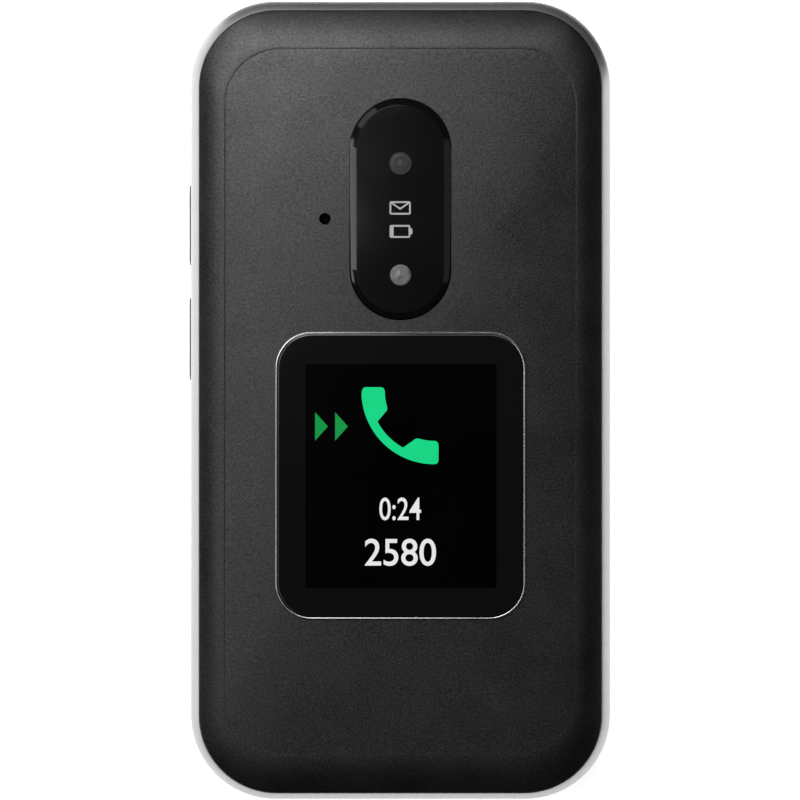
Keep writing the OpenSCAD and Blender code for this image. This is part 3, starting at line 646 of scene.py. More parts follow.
rim = loft([lowered(disp_ring(i, z)) for i, z in
            ((0, 17.25), (0, 18.76), (0.03, 18.81), (0.08, 18.84), (0.14, 18.85), (0.2, 18.84), (0.25, 18.81), (0.28, 18.77), (0.28, 17.25))],
           loop=True)
finish_piece(rim, "outer_display_metal_rim", "lid", RIM, ["outer_display_rim"], angle=40)
window = loft([disp_ring(0.3 + i, z) for i, z in ((0.2, 17.4), (0, 17.4), (0, 18.7), (0.03, 18.755), (0.09, 18.79), (0.18, 18.8))])
finish_piece(window, "outer_display_glass", "lid", GLASS, ["outer_display_window"], angle=30)


def px(x, y):
    """A place on the lid's face from a place in the picture's 800 by 800 frame."""
    return (x - 400.4) / 7.574, (400.05 - y) / 7.574


SX0, SY1 = px(305.4, 364.2)
SX1, SY0 = px(496.3, 588.0)
screen = extrude(rr(SX1 - SX0, SY1 - SY0, 0.1, (SX0 + SX1) / 2, (SY0 + SY1) / 2, 3), 18.796, 18.806)
finish_piece(screen, "outer_display_active_area", "lid", SCREEN, angle=50, weighted=False)


def bezier(p0, p1, p2, p3, n=8):
    return [tuple((1 - t) ** 3 * np.array(p0) + 3 * (1 - t) ** 2 * t * np.array(p1)
                  + 3 * (1 - t) * t * t * np.array(p2) + t ** 3 * np.array(p3)) for t in np.arange(1, n + 1) / n]


def handset(size, cx, cy, turn=0.0):
    """Outline of a plain telephone handset sign that fills a square of that size."""
    inner = [(17 - 15.02 * math.cos(math.radians(a)), 1 + 15.02 * math.sin(math.radians(a))) for a in range(28, 63, 3)]
    p = [(q[0] * 1.0, q[1] * 1.0) for q in inner]
    p += [(12.28, 12.3)] + bezier((12.28, 12.3), (12.58, 12.0), (13.0, 11.9), (13.4, 12.02), 4)
    p += bezier((13.4, 12.02), (14.6, 12.38), (15.8, 12.55), (17.0, 12.55), 5)
    p += bezier((17.0, 12.55), (17.6, 12.55), (18.0, 12.95), (18.0, 13.55), 4)
    p += [(18.0, 17.0)] + bezier((18.0, 17.0), (18.0, 17.6), (17.6, 18.0), (17.0, 18.0), 4)
    p += [(17 - 17 * math.cos(math.radians(a)), 1 + 17 * math.sin(math.radians(a))) for a in range(86, 0, -4)]
    p += bezier((0.04, 1.9), (0.0, 0.4), (0.4, 0.0), (1.0, 0.0), 4)
    p += [(4.45, 0.0)] + bezier((4.45, 0.0), (5.05, 0.0), (5.45, 0.4), (5.45, 1.0), 4)
    p += bezier((5.45, 1.0), (5.45, 2.2), (5.62, 3.4), (5.98, 4.6), 5)
    p += bezier((5.98, 4.6), (6.1, 5.0), (6.0, 5.42), (5.7, 5.72), 4)
    k = size / 18.0
    c, s = math.cos(math.radians(turn)), math.sin(math.radians(turn))
    out = []
    for x, y in p:
        u, v = (x - 9) * k, (9 - y) * k
        out.append((cx + u * c - v * s, cy + u * s + v * c))
    return out


def flat_sign(points, z0, z1):
    return extrude(points, z0, z1)


hx, hy = px((361.5 + 438.5) / 2, (387.0 + 464.3) / 2)
sign = flat_sign(handset(10.16, hx, hy), 18.802, 18.818)
finish_piece(sign, "outer_display_handset_sign", "lid", GREEN, angle=50, weighted=False)
arrows = []
for x0, x1 in ((315.2, 328.0), (335.2, 348.0)):
    a, b, c = px(x0, 412.2), px(x0, 440.6), px(x1, 426.4)
    arrows.append(flat_sign([a, b, c], 18.802, 18.818))
finish_piece(joined(arrows), "outer_display_arrow_signs", "lid", DARK_GREEN, angle=50, weighted=False)


def digits(text, height, cx, cy, z0, z1, width=None, flip=False, bold=0.0):
    """Generic numerals as a flat solid, height tall and centred on cx, cy."""
    cu = bpy.data.curves.new("digits", "FONT")
    cu.body, cu.size, cu.resolution_u = text, 1.0, 6
    cu.extrude, cu.offset = 0.5, bold
    o = bpy.data.objects.new("digits", cu)
    COLLECTION.objects.link(o)
    dg = bpy.context.evaluated_depsgraph_get()
    me = bpy.data.meshes.new_from_object(o.evaluated_get(dg))
    bpy.data.objects.remove(o)
    bpy.data.curves.remove(cu)
    v = np.array([p.co for p in me.vertices], float)
    lo, hi = v.min(0), v.max(0)
    k = height / (hi[1] - lo[1])
    kx = width / (hi[0] - lo[0]) if width else k
    w = np.empty_like(v)
    w[:, 0] = (v[:, 0] - (lo[0] + hi[0]) / 2) * kx * (-1 if flip else 1) + cx
    w[:, 1] = (v[:, 1] - (lo[1] + hi[1]) / 2) * k + cy
    w[:, 2] = np.where(v[:, 2] > 0, z1, z0)
    for p, q in zip(me.vertices, w):
        p.co = q
    r = bpy.data.objects.new("work", me)
    COLLECTION.objects.link(r)
    return r


x0, y0 = px((379.4 + 421.1) / 2, (497.0 + 520.5) / 2)
finish_piece(digits("0:24", 3.0, x0, y0, 18.802, 18.818, 5.5, bold=0.006), "outer_display_numbers_small", "lid", WHITE,
             angle=50, weighted=False)
x0, y0 = px((364.7 + 436.1) / 2, (538.4 + 565.7) / 2)
finish_piece(digits("2580", 3.6, x0, y0, 18.802, 18.818, 9.4, bold=0.008), "outer_display_numbers_large", "lid", WHITE,
             angle=50, weighted=False)

# ------------------------------------------------------------------
# lid: inner side
# ------------------------------------------------------------------

rings = [at(rr(PHONE_W - 2 * i, PHONE_L - 2 * i, CORNER_R - i, 0, 0, NC, 2, 2), z)
         for i, z in ((1.9, 10.95), (1.76, 10.98), (1.68, 11.04), (1.65, 11.12), (1.65, 12.2))]
inner = loft(rings)
combine(inner, [on_axis(6.26, -40, -12.48), on_axis(6.26, 12.48, 40), on_axis(6.7, -12.5, 12.5)])
cutters = [
    loft([at(rr(w, l, r, 0, -7, 8), z) for w, l, r, z in
          ((48.3, 64.3, 2.6, 10.0), (48.3, 64.3, 2.6, 10.95), (48.1, 64.1, 2.5, 11.0), (48.1, 64.1, 2.5, 11.85))]),
    loft([at(rr(10.3, 2.1, 1.04, 0, -45.5, 8), 10), at(rr(10.3, 2.1, 1.04, 0, -45.5, 8), 10.95),
          at(rr(10.1, 1.9, 0.94, 0, -45.5, 8), 11.02), at(rr(10.1, 1.9, 0.94, 0, -45.5, 8), 14)]),
]
for x in (-20, 20):
    cutters.append(lathe([(1.6, 10), (1.6, 10.95), (1.52, 11.02), (1.52, 11.55)], 40, "+z", (x, -48, 0)))
for x in (-21.8, 21.8):
    for y in (-43.5, 32.5):
        cutters.append(lathe([(1.9, 10), (1.9, 10.95), (1.8, 11.03), (1.8, 11.7), (1.0, 11.7), (1.0, 14)], 40, "+z", (x, y, 0)))
combine(inner, joined(cutters))
combine(inner, loft([at(rr(45, 60, 1.5, 0, -7, 8), z) for z in (10, 14)]))
a0, a1 = 92, 178
wall = [(HINGE_Y + 6.7 * math.cos(math.radians(a)), HINGE_Z + 6.7 * math.sin(math.radians(a))) for a in range(a0, a1 + 1, 2)]
wall += [(HINGE_Y + 7.4 * math.cos(math.radians(a)), HINGE_Z + 7.4 * math.sin(math.radians(a))) for a in range(a1, a0 - 1, -2)]
curve = along_x(wall, -12.45, 12.45)
combine(curve, box((-20, 30, 11.05), (20, HINGE_Y, 17.0)), "INTERSECT")
combine(inner, curve, "UNION")
finish_piece(inner, "lid_inner_panel", "lid", INNER, ["lid_inner_cover"], angle=30)

glass = loft([at(rr(48 - 2 * i, 64 - 2 * i, 2.45 - i, 0, -7, 8), z) for i, z in
              ((0.16, 10.95), (0.07, 10.965), (0.02, 11.0), (0, 11.06), (0, 11.8))])
finish_piece(glass, "main_display_glass", "lid", GLASS, ["main_display_window"], angle=30)

# main display: a plain clock face in numbers and a charge sign, read from the open phone's front
HOME = material("screen_home", (0.012, 0.030, 0.060), 0.5, grain=7000, bump=0.0, tint=0.45, patch=30, emission=1.0, spec=0.1)
area = loft([at(rr(43.6, 58.2, 0.2, 0, -7, 3), z) for z in (10.953, 10.943)])
finish_piece(area, "main_display_active_area", "lid", HOME, angle=50, weighted=False)


def inner_sign(o):
    """Mirrors a flat sign so that it reads from below, as the open lid's inner face is seen."""
    o.data.transform(Matrix.Diagonal((1, -1, 1, 1)))
    o.data.flip_normals()
    return o


finish_piece(inner_sign(digits("10:24", 9.0, 0, -1, 10.93, 10.944, 32, bold=0.0)), "main_display_clock", "lid", WHITE,
             angle=50, weighted=False)
finish_piece(inner_sign(digits("12 / 08", 3.4, 0, 9.5, 10.93, 10.944, 16)), "main_display_date", "lid", WHITE,
             angle=50, weighted=False)
finish_piece(inner_sign(battery_sign(17.5, 33.2, 4.4, 2.3, 0.3, 10.93, 10.944, 2.6)), "main_display_charge_sign", "lid", WHITE,
             angle=50, weighted=False)
bars = [extrude(rr(0.7, 0.8 + 0.5 * k, 0.08, -19.2 + 1.1 * k, 32.1 + (0.8 + 0.5 * k) / 2, 2), 10.93, 10.944) for k in range(4)]
finish_piece(inner_sign(joined(bars)), "main_display_signal_sign", "lid", WHITE, angle=50, weighted=False)
dots = []
for i, x in enumerate((-12, 0, 12)):
    dots.append(frame_plate(7.4, 7.4, 1.6, 0.35, x, 22.6, 10.93, 10.944))
finish_piece(inner_sign(joined(dots)), "main_display_tiles", "lid", WHITE, angle=50, weighted=False)
inner_env = envelope(0, 22.6, 3.8, 2.6, 0.3, 10.93, 10.944)
finish_piece(inner_sign(inner_env), "main_display_envelope", "lid", WHITE, angle=50, weighted=False)
call_sign = flat_sign(handset(4.0, -12, 22.6), 10.93, 10.944)
finish_piece(inner_sign(call_sign), "main_display_handset", "lid", GREEN, angle=50, weighted=False)
lamp = frame_plate(3.6, 3.6, 1.79, 0.32, 12, 22.6, 10.93, 10.944)
finish_piece(inner_sign(lamp), "main_display_round_sign", "lid", WHITE, angle=50, weighted=False)

for s, x in (("a", -20), ("b", 20)):
    pad = lathe([(1.3, 10.5), (1.42, 10.53), (1.49, 10.62), (1.5, 10.72), (1.5, 11.5)], 40, "+z", (x, -48, 0))
    finish_piece(pad, "lid_bumper_" + s, "lid", RUBBER, ["lid_bumpers"] if s == "a" else (), angle=40)

# ------------------------------------------------------------------
# base: the silver frame with the middle barrel
# ------------------------------------------------------------------

base_profile = [(1.7, 5.0), (0.5, 5.0), (0.38, 5.03), (0.28, 5.12), (0.2, 5.3), (0.1, 5.7), (0.04, 6.2), (0.0, 6.8), (0.0, 9.8),
                (0.03, 10.1), (0.1, 10.35), (0.2, 10.5), (0.33, 10.6), (0.45, 10.65), (1.22, 10.65), (1.3, 10.6), (1.3, 9.25),
                (1.7, 9.25)]
base = loft([outline(i, z) for i, z in base_profile], loop=True)
pocket = [(HINGE_Y + r * math.cos(math.radians(a)), HINGE_Z + r * math.sin(math.radians(a)))
          for r, span in ((9.2, range(182, 272, 3)), (8.0, range(270, 180, -3))) for a in span]
pocket = along_x(pocket, -26.5, 26.5)
combine(pocket, box((-40, 30, 5.2), (40, HINGE_Y - 5, 9.2)), "INTERSECT")
combine(base, pocket, "UNION")
combine(base, [on_axis(8.2, -40, 40, 128), box((-40, HINGE_Y - 3, 0), (40, 60, 20))])
barrel = on_axis(6.4, -12.3, 12.3, 128, 0.25)
neck = [(HINGE_Y - 2, 10.6), (HINGE_Y - 8.4, 10.6), (HINGE_Y - 8.4, 9.15), (HINGE_Y - 12, 9.15),
        (HINGE_Y - 12, HINGE_Z - 12 * math.tan(math.radians(30.5))), (HINGE_Y - 2, HINGE_Z - 2 * math.tan(math.radians(30.5)))]
neck = along_x(neck, -12.3, 12.3)
combine(neck, on_axis(8.8, -30, 30, 128), "INTERSECT")
combine(barrel, neck, "UNION")
combine(base, barrel, "UNION")
combine(base, [on_axis(3.4, -40, -2), on_axis(3.06, 6, 40), on_axis(2.6, 1.6, 6.5),
               box((2.2, 30, 8.3), (5.8, HINGE_Y + 0.6, 8.75)), box((2.2, HINGE_Y - 0.6, 8.3), (5.8, HINGE_Y + 0.6, HINGE_Z))])


def key_slot(y, l):
    """Opening for a side key, with a small chamfer at the wall's outer face."""
    return turned(loft([at(rr(l + 0.3 + g, 3.1 + g, 1.5, 0, 0, 8), z) for z, g in ((20, 0), (27.5, 0), (27.62, 0.1), (28.6, 0.9))]),
                  "-x", (0, y, SIDE_KEY_Z))


def end_slot(contour_of, x, z):
    """Opening in the bottom end's wall, with a small chamfer at its outer face."""
    return turned(loft([at(contour_of(g), h) for h, g in ((40, 0), (52.45, 0), (52.6, 0.14), (54, 1.0))]), "-y", (x, 0, z))


combine(base, joined([key_slot(23.15, 10.7), key_slot(8.1, 11.0)]))
combine(base, joined([
    end_slot(lambda g: rr(9.2 + 2 * g, 3.5 + 2 * g, 1.7 + g, 0, 0, 12), 0, PORT_Z),
    end_slot(lambda g: circle(2.08 + g * 0.6, 52), JACK_X, JACK_Z),
    end_slot(lambda g: circle(1.05 + g, 52), 10.5, PORT_Z),
    end_slot(lambda g: circle(1.05 + g, 52), 14.0, PORT_Z),
]))
finish_piece(base, "base_silver_frame", "base", SILVER, ["base_frame"], angle=30)

# ------------------------------------------------------------------
# base: keypad panel and keys
# ------------------------------------------------------------------

DIGIT_PLACE = {"0": (0, 3), "1": (-1, 0), "2": (0, 0), "3": (1, 0), "4": (-1, 1), "5": (0, 1), "6": (1, 1), "7": (-1, 2),
               "8": (0, 2), "9": (1, 2), "*": (-1, 3), "#": (1, 3)}
NODE_OF = {**{str(i): "key_" + str(i) for i in range(10)}, "*": "key_star", "#": "key_hash"}
FN = {"softkey_left": (-FN_X, RING_Y + 9, 12, 7), "softkey_right": (FN_X, RING_Y + 9, 12, 7),
      "call_key": (-FN_X, RING_Y, 12, 7.4), "end_key": (FN_X, RING_Y, 12, 7.4),
      "message_key": (-FN_X, RING_Y - 9, 12, 7), "camera_key": (FN_X, RING_Y - 9, 12, 7)}

panel = loft([outline(i, z) for i, z in ((1.35, 9.3), (1.35, 9.9), (1.38, 9.96), (1.46, 10.0))])
combine(panel, [box((-40, 37.65, 0), (40, 60, 20)), box((-12.5, 36.85, 0), (12.5, 60, 20))])


def key_hole(x, y, w, l, r):
    return loft([at(rr(w + 0.5 + g, l + 0.5 + g, r + 0.25 + g / 2, x, y, 8), z)
                 for z, g in ((8, 0), (9.9, 0), (9.95, 0.04), (10.01, 0.16), (11, 2.1))])


holes = [key_hole(c * KEY_DX, KEY_Y0 - r * KEY_DY, KEY_W, KEY_L, 2.4) for c, r in DIGIT_PLACE.values()]
holes += [key_hole(x, y, w, l, 2.4) for x, y, w, l in FN.values()]
combine(panel, joined(holes[:18:2]))
combine(panel, joined(holes[1:18:2]))
combine(panel, lathe([(10.45, 8), (10.45, 9.9), (10.47, 9.95), (10.53, 10.01), (11.5, 11)], 96, "+z", (0, RING_Y, 0)))
combine(panel, lathe([(0.6, 8), (0.6, 9.93), (0.72, 10.02), (1.5, 11)], 32, "+z", (0, -46.5, 0)))
finish_piece(panel, "keypad_panel_gloss", "base", PANEL, ["keypad_panel"], angle=30)


def key_shape(x, y, w, l, r=2.4):
    """A key cap with a flange, a rounded edge and a softly crowned top."""
    rings = [at(rr(w + 1, l + 1, r + 0.5, x, y, 8, 3, 3), z) for z in (8.95, 9.22)]
    rings += [at(rr(w, l, r, x, y, 8, 3, 3), z) for z in (9.22, 10.05)]
    for i, z in ((0.03, 10.12), (0.1, 10.19), (0.22, 10.245), (0.4, 10.28), (0.8, 10.315), (1.4, 10.345), (2.1, 10.368)):
        rings.append(at(rr(w - 2 * i, l - 2 * i, max(r - i, 0.9), x, y, 8, 3, 3), z))
    for k in (0.55, 0.4, 0.25, 0.1):
        rings.append(at(rr(w * k, l * k, r * k, x, y, 8, 3, 3), 10.4 - 0.03 * k * k * 4))
    return loft(rings)


for sign_text, (c, r) in DIGIT_PLACE.items():
    n = NODE_OF[sign_text]
    x, y = c * KEY_DX, KEY_Y0 - r * KEY_DY
    finish_piece(key_shape(x, y, KEY_W, KEY_L), n + "_cap", n, KEY, [n], angle=40)
    if sign_text == "*":
        mark = digits("*", 3.2, x, y, 10.36, 10.42, bold=0.01)
    elif sign_text == "#":
        mark = digits("#", 4.6, x, y, 10.36, 10.42, bold=0.01)
    else:
        mark = digits(sign_text, 5.2, x, y, 10.36, 10.42, bold=0.012)
    finish_piece(mark, n + "_number", n, KEY_PRINT, angle=50, weighted=False)
    if sign_text == "5":
        nibs = joined([lathe([(0.32, 10.3), (0.32, 10.44), (0.25, 10.5), (0.05, 10.52)], 20, "+z", (x + s * 5.0, y, 0)) for s in (-1, 1)])
        finish_piece(nibs, n + "_nibs", n, KEY, angle=50)

for n, (x, y, w, l) in FN.items():
    slot = {"call_key": "key_green", "end_key": "key_red"}.get(n, "key_grey")
    finish_piece(key_shape(x, y, w, l), n + "_cap", n, KEY, [n], angle=40)
    z0, z1 = 10.36, 10.42
    if n.startswith("softkey"):
        mark, paint = extrude(rr(4.0, 0.7, 0.34, x, y, 5), z0, z1), KEY_PRINT
    elif n == "call_key":
        mark, paint = flat_sign(handset(3.6, x, y), z0, z1), KEY_GREEN
    elif n == "end_key":
        mark, paint = flat_sign(handset(3.6, x, y - 0.5, 135.0), z0, z1), KEY_RED
    elif n == "message_key":
        mark, paint = envelope(x, y, 4.2, 2.8, 0.38, z0, z1), KEY_PRINT
    else:
        mark = frame_plate(4.2, 2.9, 0.5, 0.38, x, y - 0.1, z0, z1)
        ring = loft([at(circle(rr_, 32, x, y - 0.1), zz) for rr_, zz in ((0.85, z0), (0.85, z1), (0.5, z1), (0.5, z0))], loop=True)
        top = extrude(rr(1.5, 0.5, 0.1, x - 0.2, y + 1.45, 3), z0, z1)
        mark, paint = joined([combine(mark, top, "UNION"), ring]), KEY_PRINT
    finish_piece(mark, n + "_mark", n, paint, angle=50, weighted=False)

ring = loft([at(circle(r, 96, 0, RING_Y), z) for r, z in
             ((6.1, 8.95), (10.65, 8.95), (10.65, 9.22), (10.2, 9.22), (10.2, 10.1), (10.16, 10.2), (10.06, 10.29), (9.9, 10.35),
              (9.6, 10.39), (8.6, 10.4), (6.4, 10.36), (5.6, 10.3), (5.2, 10.24), (5.03, 10.16), (4.95, 10.05), (4.95, 9.65), (6.1, 9.65))],
            loop=True)
finish_piece(ring, "dpad_ring_cap", "dpad_ring", RING, ["dpad_ring"], angle=40)
marks = []
for a in (0, 90, 180, 270):
    t = math.radians(a)
    pts = [(7.9 + 0.75, 0), (7.9 - 0.5, 0.95), (7.9 - 0.5, -0.95)]
    marks.append(flat_sign([(u * math.cos(t) - v * math.sin(t), RING_Y + u * math.sin(t) + v * math.cos(t)) for u, v in pts], 10.34, 10.415))
finish_piece(joined(marks), "dpad_ring_arrows", "dpad_ring", SIDE, angle=50, weighted=False)
ok = lathe([(5.7, 8.95), (5.7, 9.2), (4.7, 9.2), (4.7, 10.1), (4.66, 10.2), (4.55, 10.29), (4.35, 10.35), (4.0, 10.385), (3.4, 10.39),
            (2.4, 10.37), (1.2, 10.35), (0.1, 10.345)], 72, "+z", (0, RING_Y, 0))
finish_piece(ok, "ok_key_cap", "ok_key", KEY, ["ok_key"], angle=40)
dot = loft([at(circle(r, 32, 0, RING_Y), z) for r, z in ((0.75, 10.33), (0.75, 10.385), (0.5, 10.385), (0.5, 10.33))], loop=True)
finish_piece(dot, "ok_key_ring_mark", "ok_key", KEY_PRINT, angle=50, weighted=False)

# ------------------------------------------------------------------
# base: side keys
# ------------------------------------------------------------------


def side_key(y, l, sign_):
    body = loft([at(rr(l + i, 2.8 + i, 1.3 + i / 2, 0, 0, 10, 8, 2), h) for h, i in
                 ((25.74, 0), (27.62, 0), (27.74, -0.04), (27.84, -0.14), (27.9, -0.3), (27.918, -0.55), (27.925, -0.9))])
    flange = loft([at(rr(l + 1, 3.3, 1.3, 0, 0, 10, 8, 2), h) for h in (25.48, 25.93)])
    return turned(joined([body, flange]), "-x", (0, y, SIDE_KEY_Z))


for n, y, l in (("volume_up", 23.15, 10.7), ("volume_down", 8.1, 11.0)):
    finish_piece(side_key(y, l, n), n + "_cap", n, SIDE, [n], angle=34)
plus = joined([extrude(rr(1.5, 0.32, 0.05, 0, 0, 2), 27.905, 27.9395)])
plus = combine(plus, extrude(rr(0.32, 1.5, 0.05, 0, 0, 2), 27.905, 27.9395), "UNION")
finish_piece(turned(plus, "-x", (0, 23.15 + 3.2, SIDE_KEY_Z)), "volume_up_plus", "volume_up", PRINT, angle=50, weighted=False)
minus = extrude(rr(1.5, 0.32, 0.05, 0, 0, 2), 27.905, 27.9395)
finish_piece(turned(minus, "-x", (0, 8.1 - 3.2, SIDE_KEY_Z)), "volume_down_minus", "volume_down", PRINT, angle=50,
             weighted=False)

# ------------------------------------------------------------------
# back: chassis, battery cover and button
# ------------------------------------------------------------------

back_profile = [(3.9, 0.0), (3.35, 0.03), (2.8, 0.14), (2.35, 0.33), (1.9, 0.6), (1.5, 0.92), (1.15, 1.28), (0.85, 1.68), (0.58, 2.12),
                (0.38, 2.6), (0.22, 3.15), (0.12, 3.75), (0.06, 4.4), (0.05, 4.86), (0.09, 4.9)]
back_inner = [(1.35, 4.9), (1.45, 3.7), (1.95, 2.6), (2.9, 1.65), (4.2, 1.2)]


def back_ring(i, z):
    return at(rr(PHONE_W - 2 * i, PHONE_L - 2 * i, CORNER_R - i, 0, 0, NC, 6, 12), z)


def back_shell():
    return loft([back_ring(i, z) for i, z in back_profile + back_inner])


door = back_shell()
combine(door, box((-60, -60, -2), (60, 20.0, 8)), "INTERSECT")
grip = joined([box((-7.5 + 0.0, 15.4 - 1.5 * k, -1.0), (7.5, 15.9 - 1.5 * k, 0.16)) for k in range(5)])
combine(door, grip)
finish_piece(door, "battery_cover_shell", "battery_cover", BACK, ["battery_cover"], angle=30)

chassis = back_shell()
combine(chassis, box((-60, 20.3, -2), (60, 49.8, 8)), "INTERSECT")
solid_end = loft([back_ring(i, z) for i, z in back_profile])
combine(solid_end, box((-60, 39.2, -2), (60, 49.8, 8)), "INTERSECT")
combine(chassis, solid_end, "UNION")
step = loft([back_ring(i, z) for i, z in back_profile])
combine(step, box((-60, 20.3, -2), (60, 21.5, 8)), "INTERSECT")
combine(chassis, step, "UNION")
combine(chassis, on_axis(8.2, -40, 40, 128))
inside = loft([at(rr(49, 85, 7, 0, -7.5, 10), z) for z in (6.8, 7.4)])
bay = box((-20.2, -34.2, 1.6), (20.2, 21.0, 6.85))
combine(bay, box((-19.2, -33.2, 1.0), (19.2, 19.2, 6.8)))
combine(inside, bay, "UNION")
for p in ((-22.3, 17.5), (22.3, 17.5), (-20, -45), (20, -45)):
    combine(inside, lathe([(2.0, 3.2), (2.0, 6.9)], 32, "+z", (p[0], p[1], 0)), "UNION")
combine(inside, joined([lathe([(0.9, 3.0), (0.9, 9)], 24, "+z", (p[0], p[1], 0)) for p in ((-22.3, 17.5), (22.3, 17.5), (-20, -45), (20, -45))]))
combine(inside, box((-14.2, -60, 6), (5.4, -39.7, 9)))
combine(chassis, inside, "UNION")
combine(chassis, lathe([(5.32, -1), (5.32, 0.0), (5.2, 0.1), (5.2, 2)], 72, "+z", (0, HELP_Y, 0)))
slots = [loft([at(rr(9 + g, 0.9 + g, 0.44 + g / 2, -14.5, y + 0.45, 6), z) for z, g in ((-1, 0.12), (0.0, 0.12), (0.08, 0), (2.0, 0))])
         for y in (28.6, 31.0, 33.4)]
combine(chassis, joined(slots))
finish_piece(chassis, "rear_chassis_shell", "base", BACK, ["rear_chassis"], angle=30)

button = lathe([(6.0, 1.75), (6.0, 1.25), (5.0, 1.25), (5.0, 0.6), (4.96, 0.5), (4.86, 0.41), (4.68, 0.36), (4.4, 0.35), (3.6, 0.42), (2.4, 0.5),
                (1.2, 0.54), (0.1, 0.55)], 72, "+z", (0, HELP_Y, 0))
finish_piece(button, "assistance_button_cap", "assistance_button", BUTTON, ["assistance_button"], angle=34)
three = joined([lathe([(0.42, 0.62), (0.42, 0.47), (0.34, 0.42), (0.05, 0.41)], 24, "+z", (x, HELP_Y, 0)) for x in (-1.6, 0, 1.6)])
finish_piece(three, "assistance_button_dots", "assistance_button", PRINT, angle=50)

# ------------------------------------------------------------------
# sockets, contacts and other small CAD shapes with their edges rounded
# ------------------------------------------------------------------

for n, body, mat, slot, w in (
    ("usb_port", "base", STEEL, "steel", 0.05), ("audio_jack", "base", SOCKET, "socket_black", 0.06),
    ("earpiece_grille", "lid", STEEL, "steel", 0.04), ("lid_screws", "lid", STEEL, "steel", 0.05),
    ("base_screws", "base", STEEL, "steel", 0.05), ("battery", "base", BATTERY, "battery_grey", 0.6),
):
    finish_piece(rounded(copy_of(n), w, 2, 30), n + "_edged", body, mat, [n], angle=34)
pins = joined([turned(loft([at(circle(r, 40), h) for h, r in
                            ((50.0, 1.4), (50.8, 1.4), (50.8, 1.0), (52.45, 1.0), (52.54, 0.96), (52.59, 0.86), (52.6, 0.7))]),
                      "-y", (x, 0, PORT_Z)) for x in (10.5, 14.0)])
finish_piece(pins, "charging_contact_pins", "base", GOLD, ["charging_contacts"], angle=34)

# ------------------------------------------------------------------
# stage: floor, lights, world and camera
# ------------------------------------------------------------------

floor_mesh = bpy.data.meshes.new("floor")
n = 8
floor_mesh.from_pydata([(x * 1.5, y * 1.5, -0.00005) for y in range(-n, n + 1) for x in range(-n, n + 1)], [],
                       [(j * (2 * n + 1) + i, j * (2 * n + 1) + i + 1, (j + 1) * (2 * n + 1) + i + 1, (j + 1) * (2 * n + 1) + i)
                        for j in range(2 * n) for i in range(2 * n)])
floor = bpy.data.objects.new("floor", floor_mesh)
COLLECTION.objects.link(floor)
FLOOR = material("pale_floor", (0.88, 0.88, 0.88), 0.6, grain=900, bump=0.02, depth=0.00005, tint=0.01, patch=6, spec=0.2)
floor_mesh.materials.append(FLOOR)
# the floor is a lit table, which gives the even pale ground
for node in FLOOR.node_tree.nodes:
    if node.type == "BSDF_PRINCIPLED":
        node.inputs["Emission Color"].default_value = (1, 1, 1, 1)
        node.inputs["Emission Strength"].default_value = 0.93

AIM = Vector((0.0, 0.0, 0.015))


def softbox(name, azimuth, elevation, distance, width, height, radiance, aim=AIM, spread=180):
    """A soft panel. Azimuth 0 is towards +X and 90 towards +Y, as seen from above."""
    a, e = math.radians(azimuth), math.radians(elevation)
    d = Vector((math.cos(a) * math.cos(e), math.sin(a) * math.cos(e), math.sin(e)))
    light = bpy.data.lights.new(name, "AREA")
    light.shape, light.size, light.size_y = "RECTANGLE", width, height
    light.energy = radiance * width * height * math.pi
    light.spread = math.radians(spread)
    o = bpy.data.objects.new(name, light)
    o.location = aim + d * distance
    o.rotation_euler = (-d).to_track_quat("-Z", "Y").to_euler()
    o.visible_camera = False
    COLLECTION.objects.link(o)
    return o


# far panels: name, azimuth, elevation, distance, width, height, radiance
PANELS = [
    ("panel_180_6", 180, 6, 0.90, 0.45, 0.22, 2.60),
    ("panel_0_20", 0, 20, 0.90, 0.45, 0.35, 0.26),
    ("panel_135_20", 135, 20, 0.90, 0.45, 0.35, 0.92),
    ("panel_90_62", 90, 62, 0.90, 0.45, 0.35, 3.48),
    ("panel_135_62", 135, 62, 0.90, 0.45, 0.35, 1.85),
    ("panel_180_62", 180, 62, 0.90, 0.45, 0.35, 1.28),
]
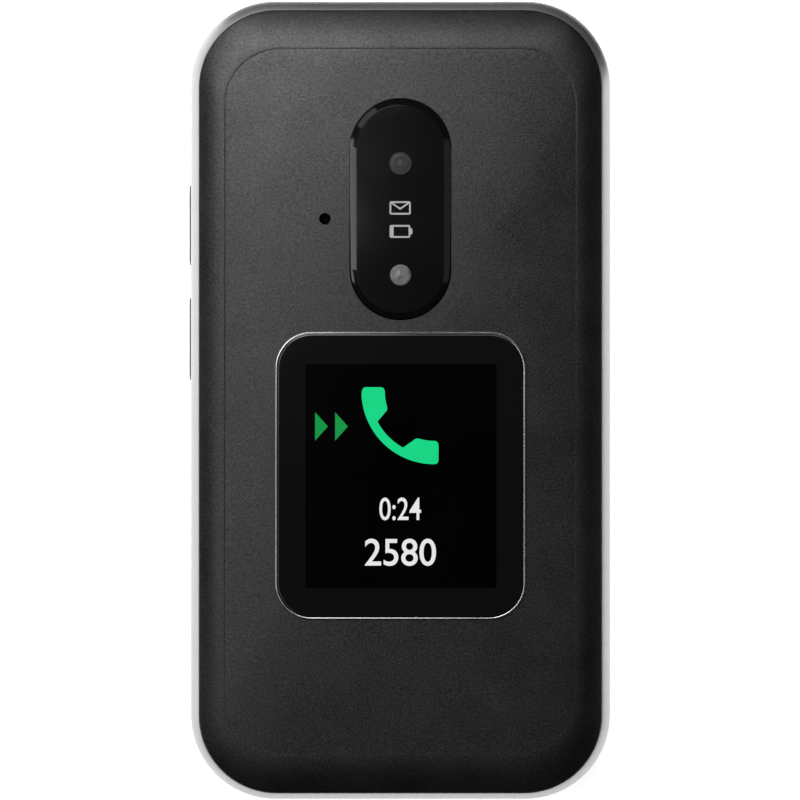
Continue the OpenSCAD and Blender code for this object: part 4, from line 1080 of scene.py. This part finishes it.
# a bank of small soft boxes over the upper left: name, x, y, z, size, radiance
BANK = [
    ("bank_1", -0.03, 0.02, 0.12, 0.035, 2.00),
    ("bank_2", -0.06, -0.06, 0.22, 0.05, 1.78),
    ("bank_3", -0.06, 0.02, 0.22, 0.05, 1.97),
    ("bank_4", -0.03, 0.14, 0.1, 0.06, 2.67),
    ("bank_5", -0.05, 0.065, 0.08, 0.03, 2.76),
    ("bank_6", -0.05, 0.08, 0.08, 0.03, 2.65),
    ("bank_7", -0.03, 0.05, 0.08, 0.03, 1.80),
    ("bank_8", -0.03, 0.1, 0.08, 0.03, 2.47),
    ("bank_9", -0.015, 0.05, 0.08, 0.03, 1.73),
    ("bank_10", -0.015, 0.065, 0.08, 0.03, 2.85),
]
for args in PANELS:
    softbox(*args)
for name, x, y, z, size, radiance in BANK:
    d = Vector((x, y, z)) - AIM
    softbox(name, math.degrees(math.atan2(d.y, d.x)), math.degrees(math.asin(d.z / d.length)), d.length, size, size, radiance)

# a black card behind the hinge end, out of sight, keeps the ground's glare off the top edge
card_mesh = bpy.data.meshes.new("black_card")
near_edge = [(16.55 + 20 * math.cos(math.radians(q)), 41.55 + 20 * math.sin(math.radians(q))) for q in (10, 25, 40, 55, 70, 85)]
near_edge += [(-16.55 + 20 * math.cos(math.radians(q)), 41.55 + 20 * math.sin(math.radians(q))) for q in (95, 108, 120, 130)]
far_edge = [(700, 160), (700, 500), (600, 800), (450, 850), (300, 900), (120, 900), (-120, 900), (-300, 850), (-480, 750), (-560, 640)]
count = len(near_edge)
card_mesh.from_pydata([(x / 1000, y / 1000, 0.0006) for x, y in near_edge + far_edge], [],
                      [(i, i + 1, count + i + 1, count + i)[::-1] for i in range(count - 1)])
card = bpy.data.objects.new("black_card", card_mesh)
COLLECTION.objects.link(card)
card_mesh.materials.append(material("black_cloth", (0.01, 0.01, 0.01), 0.9, grain=900, bump=0.2, depth=0.0001, tint=0.2, patch=20,
                                    spec=0.1))
card.visible_camera = card.visible_diffuse = card.visible_shadow = card.visible_transmission = False

world = bpy.data.worlds.new("studio")
SCENE.world = world
world.use_nodes = True
wn = world.node_tree
wn.nodes.clear()
w_out = wn.nodes.new("ShaderNodeOutputWorld")
w_bg = wn.nodes.new("ShaderNodeBackground")
w_bg.inputs["Color"].default_value = (0.9, 0.9, 0.9, 1)
w_bg.inputs["Strength"].default_value = 0.03
wn.links.new(w_bg.outputs[0], w_out.inputs[0])

CAM_DIST = 2.5
cam = bpy.data.cameras.new("camera")
cam.sensor_width = 36.0
cam.lens = 7574.0 * 36.0 * CAM_DIST / 800.0
cam.clip_start, cam.clip_end = 0.05, 20.0
cam_obj = bpy.data.objects.new("camera", cam)
cam_obj.location = (-0.4 / 7574.0, 0.05 / 7574.0, 0.015 + CAM_DIST)
COLLECTION.objects.link(cam_obj)
SCENE.camera = cam_obj
SCENE.view_settings.view_transform = "Standard"
SCENE.view_settings.look = "None"
